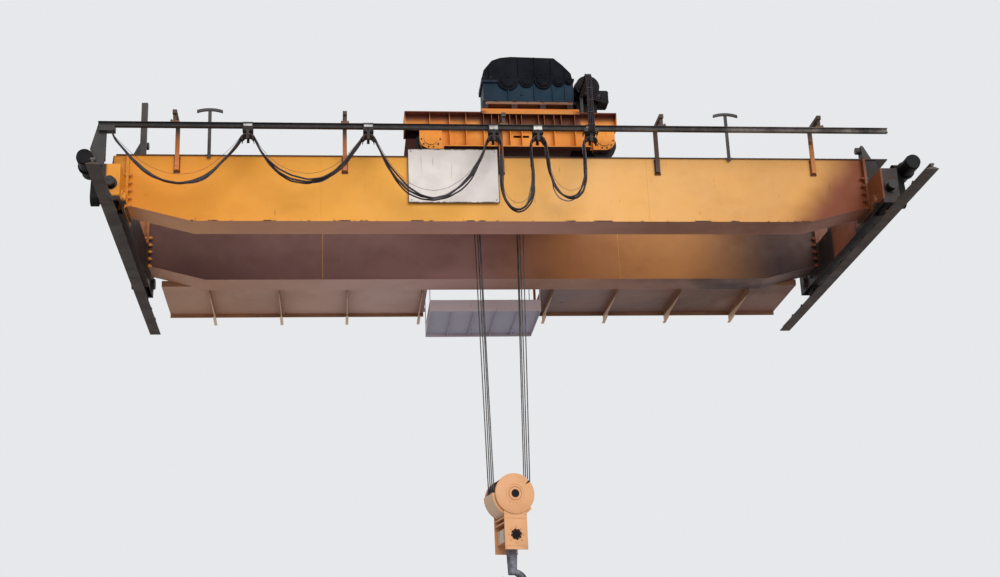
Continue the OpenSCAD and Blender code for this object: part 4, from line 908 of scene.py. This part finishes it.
def makeBridge(p, carriages):
    nuts = []
    for x, out in zip(p["girder"], (1, -1)):
        for y in p["jointY"]:
            nuts += [moved(nutAndEnd((out, 0, 0), 0.046), gridOf([x], [y], p["jointZ"])),
                     boltsAt(gridOf([x - out * p["jointThick"]], [y], p["jointZ"]), (-out, 0, 0), 0.036, 0.022)]
    makePiece("joint_bolts", nuts, "girder", "bridge")
    seams = []
    low, high, (left, right) = p["bottom"], p["top"], p["girder"]
    for y in p["webY"]:
        seams += [tube(straight((x, y, low), (x, y, high), 0.05), 0.0035, 8) for x in p["seams"]]
        seams += [tube(straight((x0, y, z), (x1, y, z), 0.1), 0.005, 8) for x0, x1, z in (
            (p["haunch"] + 0.05, right - 1.2, low + 0.001), (left + 0.02, right - 0.02, high - 0.001))]
    makePiece("web_weld_seams", seams, "girder", "bridge")
    points, faces = join(slab(p["clip"], "x", -p["clipHalf"], p["clipHalf"], 0.002),
                         boltsAt([(0, 0.006, 0.018)], (0, 0, 1), 0.026, 0.016))
    rail, runway = p["crabRail"], p["runwayRail"]
    for name, kind, body, places, off, turn in (
            ("crab_rail_clips", "darkBolt", "bridge", gridOf(rail["x"], rail["y"], [rail["z"]]), rail["off"], 0),
            ("runway_rail_clips", "bolt", "runway",
             gridOf(runway["y"], runway["x"], [runway["z"]])[:, [1, 0, 2]], runway["off"], -math.pi / 2)):
        # a clip's low edge lies on the rail's foot, so the clips of the two sides face each other
        sides = [moved((aboutUp(points, np.zeros(3), turn + half), faces), places + side * np.array(off))
                 for side, half in ((-1, math.pi), (1, 0))]
        makePiece(name, sides, kind, body)
    bolts = [boltsAt(gridOf([x + beside for beside in besides], y, z), *bolt)
             for x in p["posts"] for besides, y, z, *bolt in p["postBolts"]]
    makePiece("post_bolts", bolts, "darkBolt", "bridge")
    edges = [slab(outline, "x", x + start, x + end, chamfer)
             for x in p["brackets"] for outline, start, end, chamfer in p["bracketEdges"]]
    # the bracket edges are pale as painted highlights
    makePiece("bracket_edge_highlights", edges, "pale", "bridge")
    near, far = p["rimY"]
    rim = [box((x0, near, z0), (x1, far, z1)) for x0, z0, x1, z1 in p["rim"]]
    ahead = (0, -1, 0)
    pins = boltsAt(gridOf(*p["boardPins"]), ahead, 0.014, 0.008, False)
    makePiece("board_rim", [*rim, pins], "darkBolt", "bridge")
    h = p["hanger"]
    for body, millimetres in carriages.items():
        x = millimetres / 1000
        left, right, top = x - h["half"], x + h["half"], h["top"]
        low = top - (h["shallow"] if x < h["deepFrom"] else h["deep"])
        clip = [box((left, h["clipY"], low), (right, h["backY"], top), 0.002),
                box((left, h["lipY"], top), (right, h["backY"], h["lipTop"]), 0.001)]
        makePiece(f"{body}_clip", clip, "zinc", body)
        bolts = [boltsAt(gridOf([x - 0.048, x + 0.048], [h["boltY"]], [1.290]), ahead, 0.024, 0.014),
                 boltsAt(gridOf([x], [h["boltY"]], [1.272, 1.31]), ahead, 0.018, 0.010)]
        makePiece(f"{body}_bolts", bolts, "darkBolt", body)
    e = p["endPlate"]
    near, far = e["y"]
    arc = ringOf((e["x"], 0, e["z"]), e["r"], np.radians(np.linspace(*e["arc"], 24)))
    outline = np.vstack([arc[:, [0, 2]], [(e["edge"], arc[-1, 2]), (e["edge"], arc[0, 2])]])
    heads = ringOf((e["x"], near, e["z"]), e["boltR"], np.radians(e["bolts"]))
    for x, out, side, kind in ((0.0, 1, "left", "crab"), (11.4, -1, "right", "carriage")):
        plate = [slab(outline * [out, 1] + [x, 0], "y", near, far, 0.002),
                 boltsAt(heads * [out, 1, 1] + [x, 0, 0], ahead, 0.026, 0.016)]
        makePiece(f"carriage_end_plate_{side}", plate, kind, "bridge")
    brace = [slab(outline, "y", near, far, 0.002) for outline, near, far in (p["brace"], p["braceFoot"])]
    makePiece("anchor_brace", brace, "dark", "bridge")


makeBridge(bridge, festoon["carriages"])
print("bridge dressed")


# hook block: cover discs, rings, hub, notch, ledges and studs on each cheek, a guard band pale as a painted
# highlight and a pale side plate that also paints a highlight; every place is beside the middle of the sheave pin

hookBlock = {
    "middle": (5.72, 1.41, -3.77), "turned": math.radians(12), "faces": ((-0.25, -1), (0.25, 1)),
    # profiles of (radius, distance from the cheek)
    "cover": [(0.097, 0.001), (0.097, 0.020), (0.290, 0.024), (0.302, 0.016), (0.302, 0.001)],
    "rings": (0.140, 0.108), "ring": [(-0.006, 0.021), (-0.004, 0.027), (0.002, 0.027), (0.004, 0.021)],
    "hub": [(0.004, 0.0305), (0.060, 0.0305), (0.060, 0.0345), (0.004, 0.0365)],
    "lowDisc": [(0.004, 0.001), (0.062, 0.001), (0.060, 0.005), (0.004, 0.005)], "lowZ": -0.60, "lowBoltR": 0.074,
    "notch": [(0.162, 0.138), (0.224, 0.168), (0.236, 0.184), (0.214, 0.200)], "notchY": (0.014, 0.027),
    "ledges": (-0.36, -0.765), "ledge": (0.150, 0.006, 0.005), "studs": ((-0.155, 0.155), (-0.30, -0.79)),
    # the guard band and a crescent at each cheek, bent about the pin: low and high radius, near and far y
    "bend": (178, 322), "guard": (0.326, 0.334, -0.215, 0.195),
    "crescents": ((0.299, 0.338, -0.219, -0.211), (0.299, 0.338, 0.191, 0.199)),
    "sideHighlightPlate": ((-0.1535, -0.12, -0.69), (-0.1505, 0.08, -0.51)),
}


def bentBand(low, high, near, far, bend):
    # a rectangle of radius and y carried through the angles of the bend, about the y axis
    radius, y = np.array([(low, near), (high, near), (high, far), (low, far)]).T
    angle = np.radians(np.linspace(*bend, 60))[:, None]
    return loft(np.stack([radius * np.cos(angle), np.broadcast_to(y, (60, 4)), radius * np.sin(angle)], axis=-1))


def makeHookBlock(p):
    ridges, dark, studs = [], [], []
    wide, proud, half = p["ledge"]
    lowBolts = np.arange(8) * np.pi / 4 + 0.2
    for y, out in p["faces"]:
        pin, low, axis = (0, y, 0), (0, y, p["lowZ"]), (0, out, 0)
        ridges.append(lathe(p["cover"], pin, axis, 72, True))
        ridges += [lathe([(r + dr, height) for dr, height in p["ring"]], pin, axis, 72, True) for r in p["rings"]]
        dark.append(lathe(p["hub"], pin, axis, 40))
        near, far = sorted((y, y + out * proud))
        ridges += [box((-wide, near, z - half), (wide, far, z + half), 0.001) for z in p["ledges"]]
        dark += [lathe(p["lowDisc"], low, axis, 40),
                 boltsAt(ringOf(low, p["lowBoltR"], lowBolts), axis, 0.022, 0.010, False)]
        near, far = sorted(y + out * deep for deep in p["notchY"])
        dark.append(slab(p["notch"], "y", near, far, 0.0005))
        besides, levels = p["studs"]
        studs.append(boltsAt(gridOf(besides, [y], levels), axis, 0.014, 0.008, False))
    ridges += [bentBand(*crescent, p["bend"]) for crescent in p["crescents"]]
    for name, shapes, kind, slotName in (
            # a pale zinc plate on the crosshead's side, its light tone also a painted highlight
            ("block_side_highlight_plate", [box(*p["sideHighlightPlate"], 0.001)], "zinc", "zinc"),
            # the guard band's pale paint is a painted highlight
            ("block_guard_band", [bentBand(*p["guard"], p["bend"])], "pale", "crab_paint"),
            ("block_cheek_ridges", ridges, "block", "crab_paint"),
            ("block_hub_rings", dark, "motor", "crab_paint"),
            ("block_bolts", studs, "block", "crab_paint")):
        turned = [(aboutUp(points, np.zeros(3), p["turned"]) + p["middle"], faces) for points, faces in shapes]
        makePiece(name, turned, kind, "hook_block")


makeHookBlock(hookBlock)
print("hook block dressed")


# finishes of the CAD's own pieces

nodeFinish = {
    "girder": "front_girder_webs front_girder_bottom",
    "rearGirder": "rear_girder_webs rear_girder_bottom",
    "deck": "front_girder_deck rear_girder_deck",
    "carriage": "end_carriage_left end_carriage_right wheel_bearing_housings",
    "crab": "crab_frame_front crab_frame_rear crab_cross_frame crab_axle_boxes gearbox_seat",
    "block": "block_cheeks",
    "walkway": "walkway_deck walkway_brackets walkway_handrail",
    "platform": "service_platform",
    "dark": "deck_t_posts cable_anchor cable_tow_arm rail_end_stops hoist_brake",
    "post": "festoon_posts",
    "teal": "gearbox_lower_case drum_pedestal",
    "navy": "gearbox_upper_case",
    "motor": "hoist_motor",
    "drive": "travel_drive_left travel_drive_right",
    "track": "festoon_track",
    "runwayRail": "runway_rail_left runway_rail_right",
    "crabRail": "crab_rails",
    "wheel": "bridge_wheel_front_left bridge_wheel_rear_left bridge_wheel_front_right "
             "bridge_wheel_rear_right crab_wheels_left crab_wheels_right rope_drum top_sheaves "
             "block_sheaves",
    "hook": "lifting_hook",
    "hanger": "festoon_carriage_1 festoon_carriage_2 festoon_carriage_3 festoon_carriage_4 "
              "festoon_tow_clamp",
    "buffer": "carriage_buffers",
    "board": "sign_board",
    "rope": "hoist_ropes",
}
for kind, names in nodeFinish.items():
    for name in names.split():
        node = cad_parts[name]
        if not node.material_slots:
            node.data.materials.append(finish[kind])
        for place in node.material_slots:
            place.material = finish[kind]
print("CAD finishes set")
